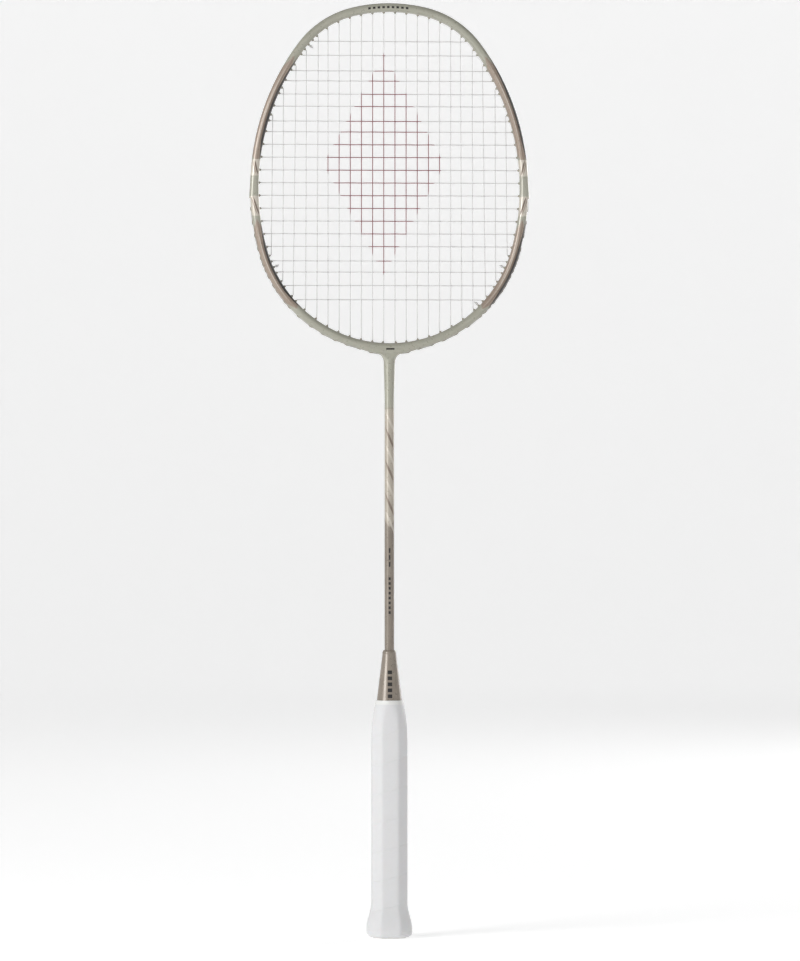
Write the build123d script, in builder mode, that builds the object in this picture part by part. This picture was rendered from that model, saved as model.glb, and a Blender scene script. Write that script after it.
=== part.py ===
from build123d import *
from collections import namedtuple
import math
import os

os.makedirs("parts", exist_ok=True)

# A strung badminton racket standing on its butt: +Z runs up the shaft to the crown of the head,
# X runs across the string face and the face looks along -Y. Every length is in millimetres.

# ---- Overall -------------------------------------------------------------------------------
TOTAL_LENGTH = 675.0
SHAFT_TOP = 391.0          # where the shaft meets the neck of the frame
CONE_TOP = 207.8
GRIP_TOP = 171.3           # upper edge of the wrapped grip, over the foot of the cone

# ---- Head frame ----------------------------------------------------------------------------
TUBE_WIDTH = 6.2           # frame tube measured in the plane of the strings
TUBE_DEPTH = 10.4          # frame tube measured front to back
TUBE_CORNER = 2.9
# The tube's centre line is a chain of tangent arcs. A heading is the direction in which the
# line runs: 0 at the throat, 90 where the head is widest, 180 at the crown. Each pair is an
# arc's radius and the heading where it ends. The crown's own arc closes the loop.
SIDE_ARCS = [(94.7, 74.5), (171.5, 126.7), (65.8, 166.5)]
BAND_LOW = 87.5            # headings of the plain band at three and nine o'clock
BAND_HIGH = 92.8
BAND_FLARE = 0.9           # how far the band's lower edge stands out past the tube
HOLLOW_INNER = -2.0        # hollow of the tube, measured outward from the centre line
HOLLOW_OUTER_LOW = 1.5     # below the band
HOLLOW_OUTER_HIGH = 0.4    # above the band, where the groove is deep
HOLLOW_DEPTH = 7.8
GROOVE_WIDTH = 3.4         # string groove round the outside of the tube
GROOVE_FLOOR_LOW = 2.5
GROOVE_FLOOR_HIGH = 1.6
THROAT_DROP = 1.9          # how much lower the thickened throat hangs than the plain tube
THROAT_HALF_SPAN = 22.0
NECK_RADIUS = 4.2
NECK_FILLET = 6.0
NECK_DEPTH = 8.8
NECK_OVERLAP = 2.0         # the neck's solid reaches this far up into the throat
GROOVE_TO_NECK = 2.6       # the throat's groove stops this far short of the neck

# ---- Shaft and T-joint ---------------------------------------------------------------------
SHAFT_RADIUS = 3.5
SHAFT_BORE = 2.5
SHAFT_FOOT = 100.0         # the shaft is glued this far down inside the handle
JOINT_RADIUS = 2.45
JOINT_FOOT = 355.0
JOINT_ARM_SPAN = 9.5       # degrees of the throat arc, each side of the middle

# ---- Handle --------------------------------------------------------------------------------
CORE_HALF_WIDTH = 11.1     # octagonal wooden core: half its size across X and across Y
CORE_HALF_DEPTH = 9.85
CORE_FACET = 5.36          # half the length of the front facet
CORE_SHOULDER = 150.0      # above this height the core is turned down to meet the cone
CONE_FOOT = 170.0
CONE_FOOT_RADIUS = 9.35
CONE_HEAD_RADIUS = 5.05
CONE_SHOULDER = 204.9
GRIP_THICKNESS = 1.9
FIT = 0.05                 # glue gap between nested parts
# Half width of the wrapped grip down the flare of the butt, as height and outward offset
# from the core's octagon.
GRIP_FLARE = [(24.0, 1.9), (20.0, 2.5), (16.0, 3.6), (12.0, 4.65), (8.0, 5.2), (4.5, 5.35),
              (2.2, 4.7), (0.9, 2.9)]
CAP_TOP = 24.0
CAP_POCKET = 4.0
CAP_WALL = 0.8
CORE_BORE_RADIUS = 5.5     # the butt end of the core is bored out to lighten it
CORE_BORE_DEPTH = 60.0
LABEL_RADIUS = 7.9
LABEL_THICKNESS = 0.3
LABEL_RECESS = 0.4
LABEL_GAP = 0.1
TAPE_HEIGHT = 2.6
TAPE_THICKNESS = 0.3

# ---- Strings and grommets ------------------------------------------------------------------
STRING_RADIUS = 0.34
MAIN_FIRST = 4.05          # the two middle mains stand this far each side of the centre
MAIN_PITCH = 8.07
MAINS_PER_SIDE = 11
CROSS_TOP = 648.2
CROSS_GAPS = [10.1] * 2 + [9.2] * 17 + [10.1]
TIE_LENGTHS = {"main_tie": 110.0, "cross_low_tie": 75.0, "cross_high_tie": 283.5}
HOLE_PITCH = 4.6           # least distance between neighbouring holes, along the tube
INNER_REACH = 4.8          # where a string turns inside the head, inward of the centre line
STRING_SEAT = 0.9          # a string lies this far above the floor of the groove
THROAT_EXIT_HEADING = 4.8  # the two middle mains leave the throat here, clear of the neck
GROMMET_TIP = 0.7          # the barrel stops this far short of the string's inner turn
GROMMET_SEAT = 0.5         # and its flange this far short of the outer turn
BARREL_RADIUS = 1.2
FLANGE_RADIUS = 1.6
FLANGE_THICKNESS = 0.4
BORE_RADIUS = 0.6
HOLE_RADIUS = BARREL_RADIUS + FIT
HOLE_REACH = 14.0          # a hole's cutter passes right through the tube
SEAT_REACH = 3.0           # and the cutter of a flange's seat reaches out past the groove
WEAVE_HEIGHT = 0.82        # a cross string swings this far in front of and behind the mains
LANE = 0.75                # sideways shift of a string that passes another string's hole
RAMP_REACH = 1.8           # a string climbs the band's step, or changes lane, in this distance
TURN_REACH = 0.6           # length of string that each bend takes up on each side
LONGEST_RADIUS = 20.0
KNOT_RADIUS = 1.2
KNOT_LENGTH = 2.0

Arc = namedtuple("Arc", "x z radius start end")
Hole = namedtuple("Hole", "name side length inner outer")


def build_head_arcs():
    """The arcs of one side of the head, with their centres, from throat to crown."""
    radii = [radius for radius, _ in SIDE_ARCS]
    ends = [0.0] + [end for _, end in SIDE_ARCS] + [180.0]
    sines = [math.sin(math.radians(end)) for end in ends]
    cosines = [math.cos(math.radians(end)) for end in ends]
    reach = sum(r * (sines[i + 1] - sines[i]) for i, r in enumerate(radii))
    radii.append(reach / sines[-2])
    height = sum(r * (cosines[i] - cosines[i + 1]) for i, r in enumerate(radii))
    x, z = 0.0, TOTAL_LENGTH - TUBE_WIDTH / 2 - height
    arcs = []
    for i, radius in enumerate(radii):
        arcs.append(Arc(x - radius * sines[i], z + radius * cosines[i], radius, ends[i], ends[i + 1]))
        x = arcs[i].x + radius * sines[i + 1]
        z = arcs[i].z - radius * cosines[i + 1]
    return arcs


HEAD_ARCS = build_head_arcs()
THROAT_ARC = HEAD_ARCS[0]
THROAT_RISE = THROAT_DROP + THROAT_ARC.radius - math.sqrt(THROAT_ARC.radius**2 - THROAT_HALF_SPAN**2)
CRESCENT_RADIUS = (THROAT_HALF_SPAN**2 + THROAT_RISE**2) / (2 * THROAT_RISE)
CRESCENT_Z = THROAT_ARC.z - THROAT_ARC.radius - THROAT_DROP + CRESCENT_RADIUS
CRESCENT_SPAN = math.degrees(math.asin(THROAT_HALF_SPAN / CRESCENT_RADIUS))


def arc_at(heading):
    return next(arc for arc in HEAD_ARCS if heading <= arc.end)


def length_at(heading):
    """Distance along the centre line from the throat to a heading."""
    before = [arc for arc in HEAD_ARCS if arc.end < heading]
    arc = arc_at(heading)
    run = sum(a.radius * math.radians(a.end - a.start) for a in before)
    return run + arc.radius * math.radians(heading - arc.start)


def heading_at(length):
    for arc in HEAD_ARCS:
        run = arc.radius * math.radians(arc.end - arc.start)
        if length <= run:
            return arc.start + math.degrees(length / arc.radius)
        length -= run
    return HEAD_ARCS[-1].end


def head_point(heading, outward=0.0, side=1, y=0.0):
    arc = arc_at(heading)
    turn = math.radians(heading)
    x = arc.x + (arc.radius + outward) * math.sin(turn)
    z = arc.z - (arc.radius + outward) * math.cos(turn)
    return Vector(side * x, y, z)


def section_plane(heading, outward=0.0):
    """Plane square to the tube: local x points out of the head and local y front to back."""
    turn = math.radians(heading)
    normal = (math.sin(turn), 0, -math.cos(turn))
    along = (math.cos(turn), 0, math.sin(turn))
    return Plane(origin=head_point(heading, outward), x_dir=normal, z_dir=along)


def tube_spans(start, end):
    """The pieces of the head's arcs between two headings."""
    for arc in HEAD_ARCS:
        low, high = max(start, arc.start), min(end, arc.end)
        if low < high:
            yield arc, low, high


# ---- Where the strings pass through the tube -----------------------------------------------
def throat_surface(heading):
    """Distance of the throat's lower surface outward from the centre line of the tube."""
    drop = THROAT_ARC.z - CRESCENT_Z
    turn = math.radians(heading)
    across = CRESCENT_RADIUS + TUBE_WIDTH / 2
    reach = drop * math.cos(turn) + math.sqrt(across**2 - (drop * math.sin(turn)) ** 2)
    return reach - THROAT_ARC.radius


def string_height(length):
    """Distance of a string outward from the centre line where it lies in the groove."""
    heading = heading_at(length)
    low, high = GROOVE_FLOOR_LOW + STRING_SEAT, GROOVE_FLOOR_HIGH + STRING_SEAT
    if heading < THROAT_ARC.end:
        thicker = throat_surface(heading) - TUBE_WIDTH / 2
        return low + max(0.0, thicker)
    ramp = (length - length_at(BAND_LOW)) / (2 * RAMP_REACH) + 0.5
    return low + (high - low) * min(1.0, max(0.0, ramp))


def main_heading(x, low):
    """Heading at which a straight main meets the inside of the head."""
    for arc in HEAD_ARCS if low else reversed(HEAD_ARCS):
        sine = (x - arc.x) / (arc.radius - INNER_REACH)
        if abs(sine) <= 1:
            heading = math.degrees(math.asin(sine))
            heading = heading if low else 180 - heading
            if arc.start <= heading <= arc.end:
                return heading


def cross_heading(z):
    for arc in HEAD_ARCS:
        cosine = (arc.z - z) / (arc.radius - INNER_REACH)
        if abs(cosine) <= 1 and arc.start <= math.degrees(math.acos(cosine)) <= arc.end:
            return math.degrees(math.acos(cosine))


def hole_lengths():
    """Distance of every hole along one side, spread out where two would be too close."""
    lengths = dict(TIE_LENGTHS)
    for i in range(MAINS_PER_SIDE):
        x = MAIN_FIRST + MAIN_PITCH * i
        lengths[f"main_low_{i}"] = length_at(main_heading(x, low=True))
        lengths[f"main_high_{i}"] = length_at(main_heading(x, low=False))
    for j in range(len(CROSS_GAPS) + 1):
        lengths[f"cross_{j}"] = length_at(cross_heading(CROSS_TOP - sum(CROSS_GAPS[:j])))
    # Where a main and a cross fall on the same spot, the main goes the longer way round.
    order = sorted(lengths, key=lambda name: lengths[name] + (0.1 if "main" in name else 0.0))
    for _ in range(200):
        for first, second in zip(order, order[1:]):
            lack = HOLE_PITCH - (lengths[second] - lengths[first])
            if lack > 0:
                lengths[first] -= lack / 2
                lengths[second] += lack / 2
    return lengths


LENGTHS = hole_lengths()


def make_hole(name, side):
    length = LENGTHS[name]
    heading = heading_at(length)
    inner = head_point(heading, -INNER_REACH, side)
    if name == "main_low_0":
        inner = Vector(side * MAIN_FIRST, 0, inner.Z)
        heading = THROAT_EXIT_HEADING
        length = length_at(heading)
    outer = head_point(heading, string_height(length), side)
    return Hole(name, side, length, inner, outer)


ONE_SIDED = {"cross_high_tie": -1, "cross_low_tie": 1}
HOLES = {
    (name, side): make_hole(name, side)
    for name in LENGTHS
    for side in (-1, 1)
    if ONE_SIDED.get(name, side) == side
}


def bore_plane(hole, back=0.0):
    """Plane at a hole's inner end, looking out along it."""
    axis = (hole.outer - hole.inner).normalized()
    return Plane(origin=hole.inner + axis * back, x_dir=(0, 1, 0), z_dir=axis)


def bore_length(hole):
    return (hole.outer - hole.inner).length


# ---- Routes of the two strings -------------------------------------------------------------
def outside_run(first, last, lane):
    """Points of a string in the groove between two holes, beside any hole that it passes."""
    if first.side != last.side:
        return []
    low, high = sorted((first.length, last.length))
    step = length_at(BAND_LOW)
    passed = [h for h in HOLES.values() if h.side == first.side and low < h.length < high]
    if not passed and not low < step < high:
        return []
    start, end = low + RAMP_REACH, high - RAMP_REACH
    count = max(2, math.ceil((end - start) / HOLE_PITCH) + 1)
    y = lane if passed else 0.0
    points = []
    for i in range(count):
        length = start + (end - start) * i / (count - 1)
        points.append(head_point(heading_at(length), string_height(length), first.side, y))
    return points if first.length < last.length else points[::-1]


def crossing(main, cross):
    """Where a main and a cross meet in the plane of the strings, or None."""
    (low, high), (left, right) = main, cross
    run, rise = high - low, right - left
    scale = run.X * rise.Z - run.Z * rise.X
    gap = left - low
    along = (gap.X * rise.Z - gap.Z * rise.X) / scale
    across = (gap.X * run.Z - gap.Z * run.X) / scale
    if 0 < along < 1 and 0 < across < 1:
        return low + run * along
    return None


MAIN_ENDS = []
for side in (-1, 1):
    numbers = range(MAINS_PER_SIDE)
    for i in reversed(numbers) if side < 0 else numbers:
        MAIN_ENDS.append((HOLES[f"main_low_{i}", side], HOLES[f"main_high_{i}", side]))
CROSS_ENDS = [
    (HOLES[f"cross_{j}", -1], HOLES[f"cross_{j}", 1]) for j in range(len(CROSS_GAPS) + 1)
]


def main_route():
    """The mains from the left tie-off to the right one, up and down in turn."""
    tie = HOLES["main_tie", -1]
    points = [tie.inner, tie.outer] + outside_run(tie, MAIN_ENDS[0][0], LANE)
    for k, ends in enumerate(MAIN_ENDS):
        start, end = ends if k % 2 == 0 else ends[::-1]
        points += [start.outer, start.inner, end.inner, end.outer]
        if k + 1 < len(MAIN_ENDS):
            following = MAIN_ENDS[k + 1][1 if k % 2 == 0 else 0]
        else:
            following = HOLES["main_tie", 1]
        points += outside_run(end, following, LANE)
    return points + [following.outer, following.inner]


def cross_row(j):
    """One cross from left to right, over and under the mains in turn."""
    left, right = CROSS_ENDS[j]
    points = [left.inner]
    for k, (low, high) in enumerate(MAIN_ENDS):
        meeting = crossing((low.inner, high.inner), (left.inner, right.inner))
        if meeting:
            y = WEAVE_HEIGHT if (j + k) % 2 else -WEAVE_HEIGHT
            points.append(Vector(meeting.X, y, meeting.Z))
    return points + [right.inner]


def cross_route():
    """The crosses from the upper tie-off on the left to the lower one on the right."""
    tie = HOLES["cross_high_tie", -1]
    points = [tie.inner, tie.outer] + outside_run(tie, CROSS_ENDS[0][0], -LANE)
    for j, ends in enumerate(CROSS_ENDS):
        start, end = ends if j % 2 == 0 else ends[::-1]
        row = cross_row(j) if j % 2 == 0 else cross_row(j)[::-1]
        points += [start.outer] + row + [end.outer]
        if j + 1 < len(CROSS_ENDS):
            following = CROSS_ENDS[j + 1][1 if j % 2 == 0 else 0]
        else:
            following = HOLES["cross_low_tie", 1]
        points += outside_run(end, following, -LANE)
    return points + [following.outer, following.inner]


def bend_radius(before, corner, after):
    """Radius of the bend that takes up the same short length of string at every corner."""
    turn = (corner - before).get_angle(after - corner)
    return min(LONGEST_RADIUS, TURN_REACH / math.tan(math.radians(turn / 2)))


def string_along(points):
    """A round string along straight runs joined by tangent bends."""
    radii = [bend_radius(*points[i - 1 : i + 2]) for i in range(1, len(points) - 1)]
    with BuildPart() as string:
        with BuildLine() as route:
            FilletPolyline(*points, radius=radii)
        with BuildSketch(Plane(origin=route.line @ 0, z_dir=route.line % 0)):
            Circle(STRING_RADIUS)
        sweep()
    return string.part


def save(part, name):
    part.label = name
    export_step(part, f"parts/{name}.step")


# ---- Head frame: hollow tube, flared bands, thickened throat and neck -----------------------
def turn_about(arc, degrees):
    """Revolve the pending sketch round an arc's centre, in the direction of the headings."""
    return {"axis": Axis((arc.x, 0, arc.z), (0, -1, 0)), "revolution_arc": degrees}


with BuildPart() as half_tube:
    for arc, low, high in tube_spans(0, 180):
        with BuildSketch(section_plane(low)):
            RectangleRounded(TUBE_WIDTH, TUBE_DEPTH, TUBE_CORNER)
        revolve(**turn_about(arc, high - low))
    # The band's outer half swells towards its lower edge, where it ends in a step.
    for heading, flare in ((BAND_HIGH, 0.0), (BAND_LOW, BAND_FLARE)):
        with BuildSketch(section_plane(heading)) as band_end:
            with Locations(((TUBE_WIDTH / 2 + flare) / 2, 0)):
                Rectangle(TUBE_WIDTH / 2 + flare, TUBE_DEPTH)
            outer_corners = band_end.vertices().group_by(Axis.X)[-1]
            fillet(outer_corners, TUBE_CORNER)
    loft(ruled=True)

with BuildPart() as half_hollow:
    for start, end, outer in ((0, BAND_LOW, HOLLOW_OUTER_LOW), (BAND_LOW, 180, HOLLOW_OUTER_HIGH)):
        width = outer - HOLLOW_INNER
        for arc, low, high in tube_spans(start, end):
            middle = (outer + HOLLOW_INNER) / 2
            with BuildSketch(section_plane(low, middle)):
                RectangleRounded(width, HOLLOW_DEPTH, width / 2 - FIT)
            revolve(**turn_about(arc, high - low))

groove_start = math.degrees(math.asin(THROAT_HALF_SPAN / THROAT_ARC.radius))
groove_height = 4.0
with BuildPart() as half_groove:
    spans = ((groove_start, BAND_LOW, GROOVE_FLOOR_LOW), (BAND_LOW, 180, GROOVE_FLOOR_HIGH))
    for start, end, floor in spans:
        for arc, low, high in tube_spans(start, end):
            with BuildSketch(section_plane(low, floor + groove_height / 2)):
                Rectangle(groove_height, GROOVE_WIDTH)
            revolve(**turn_about(arc, high - low))

# The throat is a second, tighter arc of the same tube that bulges below the first one.
crescent = Arc(0, CRESCENT_Z, CRESCENT_RADIUS, -CRESCENT_SPAN, CRESCENT_SPAN)
throat_clear = math.degrees(math.asin((NECK_RADIUS + GROOVE_TO_NECK) / CRESCENT_RADIUS))


def crescent_plane(heading, outward=0.0):
    turn = math.radians(heading)
    normal = Vector(math.sin(turn), 0, -math.cos(turn))
    along = (math.cos(turn), 0, math.sin(turn))
    centre = Vector(0, 0, CRESCENT_Z) + normal * (CRESCENT_RADIUS + outward)
    return Plane(origin=centre, x_dir=normal, z_dir=along)


with BuildPart() as throat:
    with BuildSketch(crescent_plane(-CRESCENT_SPAN)):
        RectangleRounded(TUBE_WIDTH, TUBE_DEPTH, TUBE_CORNER)
    revolve(**turn_about(crescent, 2 * CRESCENT_SPAN))

with BuildPart() as half_throat_groove:
    floor = GROOVE_FLOOR_LOW
    with BuildSketch(crescent_plane(throat_clear, floor + groove_height / 2)):
        Rectangle(groove_height, GROOVE_WIDTH)
    revolve(**turn_about(crescent, CRESCENT_SPAN - throat_clear))

neck_fillet_foot = 416.0
neck_top = neck_fillet_foot + NECK_FILLET
neck_end = neck_top + NECK_OVERLAP
with BuildPart() as neck:
    with BuildSketch(Plane.XZ):
        with BuildLine():
            side_line = Line((SHAFT_RADIUS, SHAFT_TOP), (NECK_RADIUS, neck_fillet_foot))
            flare_arc = RadiusArc(side_line @ 1, (NECK_RADIUS + NECK_FILLET, neck_top), NECK_FILLET)
            Polyline(flare_arc @ 1, (NECK_RADIUS + NECK_FILLET, neck_end), (0, neck_end))
            Polyline((0, neck_end), (0, SHAFT_TOP), side_line @ 0)
        make_face()
    revolve(axis=Axis.Z)
    with BuildSketch(Plane.XY.offset(SHAFT_TOP)):
        Rectangle(4 * NECK_FILLET, NECK_DEPTH)
    extrude(amount=neck_end - SHAFT_TOP, mode=Mode.INTERSECT)

AT_FOOT = (Align.CENTER, Align.CENTER, Align.MIN)
with BuildPart() as head_frame:
    add(half_tube.part)
    mirror(about=Plane.YZ)
    add(throat.part)
    add(neck.part)
    for tool in (half_hollow, half_groove, half_throat_groove):
        add(tool.part, mode=Mode.SUBTRACT)
        add(tool.part.mirror(Plane.YZ), mode=Mode.SUBTRACT)
    with BuildSketch(Plane.XY.offset(SHAFT_TOP)):
        Circle(SHAFT_BORE)
    extrude(amount=THROAT_ARC.z - THROAT_ARC.radius - SHAFT_TOP, mode=Mode.SUBTRACT)
    with Locations(*[bore_plane(hole) for hole in HOLES.values()]):
        Cylinder(HOLE_RADIUS, HOLE_REACH, align=AT_FOOT, mode=Mode.SUBTRACT)
    seats = [
        bore_plane(hole, bore_length(hole) - GROMMET_SEAT - FLANGE_THICKNESS)
        for hole in HOLES.values()
    ]
    with Locations(*seats):
        Cylinder(FLANGE_RADIUS + FIT, SEAT_REACH, align=AT_FOOT, mode=Mode.SUBTRACT)
save(head_frame.part, "head_frame")

# ---- T-joint: a curved arm inside the throat with a stem down the neck into the shaft --------
arm_clearance = 0.15
arm_width = HOLLOW_OUTER_LOW - HOLLOW_INNER - 2 * arm_clearance
arm_middle = (HOLLOW_OUTER_LOW + HOLLOW_INNER) / 2
with BuildPart() as t_joint:
    arm_start = -JOINT_ARM_SPAN
    turn = math.radians(arm_start)
    normal = Vector(math.sin(turn), 0, -math.cos(turn))
    arm_origin = Vector(0, 0, THROAT_ARC.z) + normal * (THROAT_ARC.radius + arm_middle)
    along = (math.cos(turn), 0, math.sin(turn))
    with BuildSketch(Plane(origin=arm_origin, x_dir=normal, z_dir=along)):
        RectangleRounded(arm_width, HOLLOW_DEPTH - 2 * arm_clearance, arm_width / 2 - FIT)
    revolve(**turn_about(THROAT_ARC, 2 * JOINT_ARM_SPAN))
    with BuildSketch(Plane.XY.offset(JOINT_FOOT)):
        Circle(JOINT_RADIUS)
    extrude(amount=THROAT_ARC.z - THROAT_ARC.radius - JOINT_FOOT)
    chamfer(t_joint.faces().sort_by(Axis.Z)[0].edges(), 0.5)
    near_throat = [hole for hole in HOLES.values() if hole.length < 2 * MAIN_PITCH]
    with Locations(*[bore_plane(hole) for hole in near_throat]):
        Cylinder(HOLE_RADIUS, HOLE_REACH, align=AT_FOOT, mode=Mode.SUBTRACT)
save(t_joint.part, "t_joint")

# ---- Shaft: a plain tube from the neck down into the handle ----------------------------------
with BuildPart() as shaft:
    with BuildSketch(Plane.XY.offset(SHAFT_FOOT)):
        Circle(SHAFT_RADIUS)
        Circle(SHAFT_BORE, mode=Mode.SUBTRACT)
    extrude(amount=SHAFT_TOP - SHAFT_FOOT)
save(shaft.part, "shaft")

# ---- Cone cap: moulded cone round the shaft, over the turned end of the core -----------------
cone_top_radius = CONE_HEAD_RADIUS - 0.75
spigot_foot_radius = 7.2
spigot_top_radius = 5.0
spigot_top = 190.0
with BuildPart() as cone_cap:
    with BuildSketch(Plane.XZ):
        with BuildLine():
            Polyline((SHAFT_RADIUS + FIT, CONE_TOP), (cone_top_radius, CONE_TOP))
            ThreePointArc(
                (cone_top_radius, CONE_TOP),
                (CONE_HEAD_RADIUS - 0.15, (CONE_TOP + CONE_SHOULDER) / 2 + 0.4),
                (CONE_HEAD_RADIUS, CONE_SHOULDER),
            )
            Polyline(
                (CONE_HEAD_RADIUS, CONE_SHOULDER),
                (CONE_FOOT_RADIUS, CONE_FOOT),
                (spigot_foot_radius + FIT, CONE_FOOT),
                (spigot_top_radius + FIT, spigot_top + FIT),
                (SHAFT_RADIUS + FIT, spigot_top + FIT),
                (SHAFT_RADIUS + FIT, CONE_TOP),
            )
        make_face()
    revolve(axis=Axis.Z)
save(cone_cap.part, "cone_cap")


# ---- Handle -----------------------------------------------------------------------------------
def octagon(offset):
    """The handle's octagon, grown evenly outward, drawn into the open sketch."""
    grown_facet = offset * math.tan(math.radians(22.5))
    half_x, half_y = CORE_HALF_WIDTH + offset, CORE_HALF_DEPTH + offset
    facet_x = CORE_FACET + grown_facet
    facet_y = half_y - (half_x - facet_x)
    corner = [(half_x, facet_y), (facet_x, half_y)]
    quarter = corner + [(-x, y) for x, y in reversed(corner)]
    outline = quarter + [(-x, -y) for x, y in quarter]
    Polygon(*outline, align=None)


def turned_end(start, middle, end):
    """Body of revolution whose upper end is turned down along an arc through three points."""
    wide = 2 * CORE_HALF_WIDTH
    with BuildPart() as turned:
        with BuildSketch(Plane.XZ):
            with BuildLine():
                ThreePointArc(start, middle, end)
                Polyline(end, (0, end[1]), (0, 0), (wide, 0), (wide, start[1] - 10), start)
            make_face()
        revolve(axis=Axis.Z)
    return turned.part


# Radius and height of each turned profile: the core's, and the grip's over it.
core_turning = turned_end((12.1, 148), (10.7, 159.5), (CONE_FOOT_RADIUS - 0.1, CONE_FOOT))
grip_profile = [(13.95, 148), (12.3, 159), (9.8, GRIP_TOP)]
grip_turning = turned_end(*grip_profile)

with BuildPart() as core_outline:
    with BuildSketch(Plane.XY.offset(CAP_TOP)):
        octagon(0)
    extrude(amount=CONE_FOOT - CAP_TOP)
    add(core_turning, mode=Mode.INTERSECT)

with BuildPart() as handle_core:
    add(core_outline.part)
    with BuildSketch(Plane.XY.offset(CAP_POCKET)):
        octagon(-CAP_WALL)
    extrude(amount=CAP_TOP - CAP_POCKET)
    with BuildSketch(Plane.XY.offset(CONE_FOOT)):
        Circle(spigot_foot_radius)
    with BuildSketch(Plane.XY.offset(spigot_top)):
        Circle(spigot_top_radius)
    loft(ruled=True)
    with BuildSketch(Plane.XY.offset(SHAFT_FOOT)):
        Circle(SHAFT_RADIUS + FIT)
    extrude(amount=spigot_top - SHAFT_FOOT, mode=Mode.SUBTRACT)
    with BuildSketch(Plane.XY.offset(CAP_POCKET)):
        Circle(CORE_BORE_RADIUS)
    extrude(amount=CORE_BORE_DEPTH, mode=Mode.SUBTRACT)


def flare(inset, bottom):
    """Ruled octagonal flare of the butt, set in by the given wall, down to a flat bottom."""
    with BuildPart() as body:
        for z, offset in GRIP_FLARE:
            with BuildSketch(Plane.XY.offset(z)):
                octagon(offset - inset)
        if bottom:
            with BuildSketch(Plane.XY.offset(0)):
                octagon(GRIP_FLARE[-1][1] - inset - 0.4)
        loft(ruled=True)
    return body.part


cap_body = flare(GRIP_THICKNESS, bottom=True)
grip_body = flare(0.0, bottom=False)

with BuildPart() as butt_cap:
    add(cap_body)
    with BuildSketch(Plane.XY.offset(CAP_POCKET)):
        octagon(-CAP_WALL)
    extrude(amount=CAP_TOP - CAP_POCKET, mode=Mode.SUBTRACT)
    # Shallow round recess for the end label.
    with BuildSketch(Plane.XY):
        Circle(LABEL_RADIUS + LABEL_GAP)
    extrude(amount=LABEL_RECESS, mode=Mode.SUBTRACT)

with BuildPart() as butt_label:
    with BuildSketch(Plane.XY.offset(LABEL_RECESS - LABEL_THICKNESS)):
        Circle(LABEL_RADIUS)
    extrude(amount=LABEL_THICKNESS)
save(butt_label.part, "butt_label")

# Two staples hold the cap to the core, one through the front of its skirt and one through
# the back.
staple_z = 21.2
staple_width = 9.0
staple_wire = 0.8
staple_leg = 6.5
staple_face = CORE_HALF_DEPTH + 0.05
with BuildPart() as butt_cap_staples:
    for face in (-1, 1):
        middle = face * (staple_face - staple_wire / 2)
        with Locations((0, middle, staple_z)):
            Box(staple_width, staple_wire, staple_wire)
        for x in (-1, 1):
            leg_x = x * (staple_width - staple_wire) / 2
            with Locations((leg_x, face * (staple_face - staple_leg / 2), staple_z)):
                Box(staple_wire, staple_leg, staple_wire)
save(butt_cap_staples.part, "butt_cap_staples")

for piece, name in ((handle_core, "handle_core"), (butt_cap, "butt_cap")):
    save(piece.part - butt_cap_staples.part, name)

# ---- Grip: the wrapped strip as one shell, and its finishing tape at the top ------------------
with BuildPart() as grip_wrap:
    with BuildSketch(Plane.XY.offset(CAP_TOP)):
        octagon(GRIP_THICKNESS)
    extrude(amount=GRIP_TOP - CAP_TOP)
    add(grip_turning, mode=Mode.INTERSECT)
    add(grip_body)
    add(core_outline.part, mode=Mode.SUBTRACT)
    add(cap_body, mode=Mode.SUBTRACT)
    with BuildSketch(Plane.XY.offset(CONE_FOOT)):
        Circle(CONE_FOOT_RADIUS)
    extrude(amount=GRIP_TOP - CONE_FOOT, mode=Mode.SUBTRACT)
save(grip_wrap.part, "grip_wrap")

tape_low = GRIP_TOP - TAPE_HEIGHT
tape_high = GRIP_TOP + TAPE_THICKNESS
tape_turning = turned_end(*[(r + TAPE_THICKNESS, z + TAPE_THICKNESS) for r, z in grip_profile])
with BuildPart() as grip_finishing_tape:
    with BuildSketch(Plane.XY.offset(tape_low)):
        Circle(2 * CORE_HALF_WIDTH)
    extrude(amount=tape_high - tape_low)
    add(tape_turning, mode=Mode.INTERSECT)
    add(grip_turning, mode=Mode.SUBTRACT)
    with BuildSketch(Plane.XY.offset(tape_low)):
        Circle(CONE_FOOT_RADIUS)
    extrude(amount=tape_high - tape_low, mode=Mode.SUBTRACT)
save(grip_finishing_tape.part, "grip_finishing_tape")


# ---- Grommets: a nylon barrel with a flange in every hole, in strips round the head -----------
def grommet_strip(holes):
    with BuildPart() as strip:
        for hole in holes:
            length = bore_length(hole) - GROMMET_TIP - GROMMET_SEAT
            with Locations(bore_plane(hole, GROMMET_TIP)):
                Cylinder(BARREL_RADIUS, length, align=AT_FOOT)
            with Locations(bore_plane(hole, GROMMET_TIP + length - FLANGE_THICKNESS)):
                Cylinder(FLANGE_RADIUS, FLANGE_THICKNESS, align=AT_FOOT)
        with Locations(*[bore_plane(hole) for hole in holes]):
            Cylinder(BORE_RADIUS, HOLE_REACH, align=AT_FOOT, mode=Mode.SUBTRACT)
    return strip.part


# Each strip covers the holes between two distances along the tube, on one side or on both.
strip_spans = {"throat": (0, 35), "lower": (35, 120), "side": (120, 220), "shoulder": (220, 300)}
strip_spans["crown"] = (300, 400)
for place, (low, high) in strip_spans.items():
    within = [hole for hole in HOLES.values() if low <= hole.length < high]
    if place in ("throat", "crown"):
        save(grommet_strip(within), f"grommets_{place}")
        continue
    for side, side_name in ((-1, "left"), (1, "right")):
        strip = grommet_strip([hole for hole in within if hole.side == side])
        save(strip, f"grommets_{side_name}_{place}")

# ---- Strings and the knots at their ends --------------------------------------------------------
save(string_along(main_route()), "main_string")
save(string_along(cross_route()), "cross_string")

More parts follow.
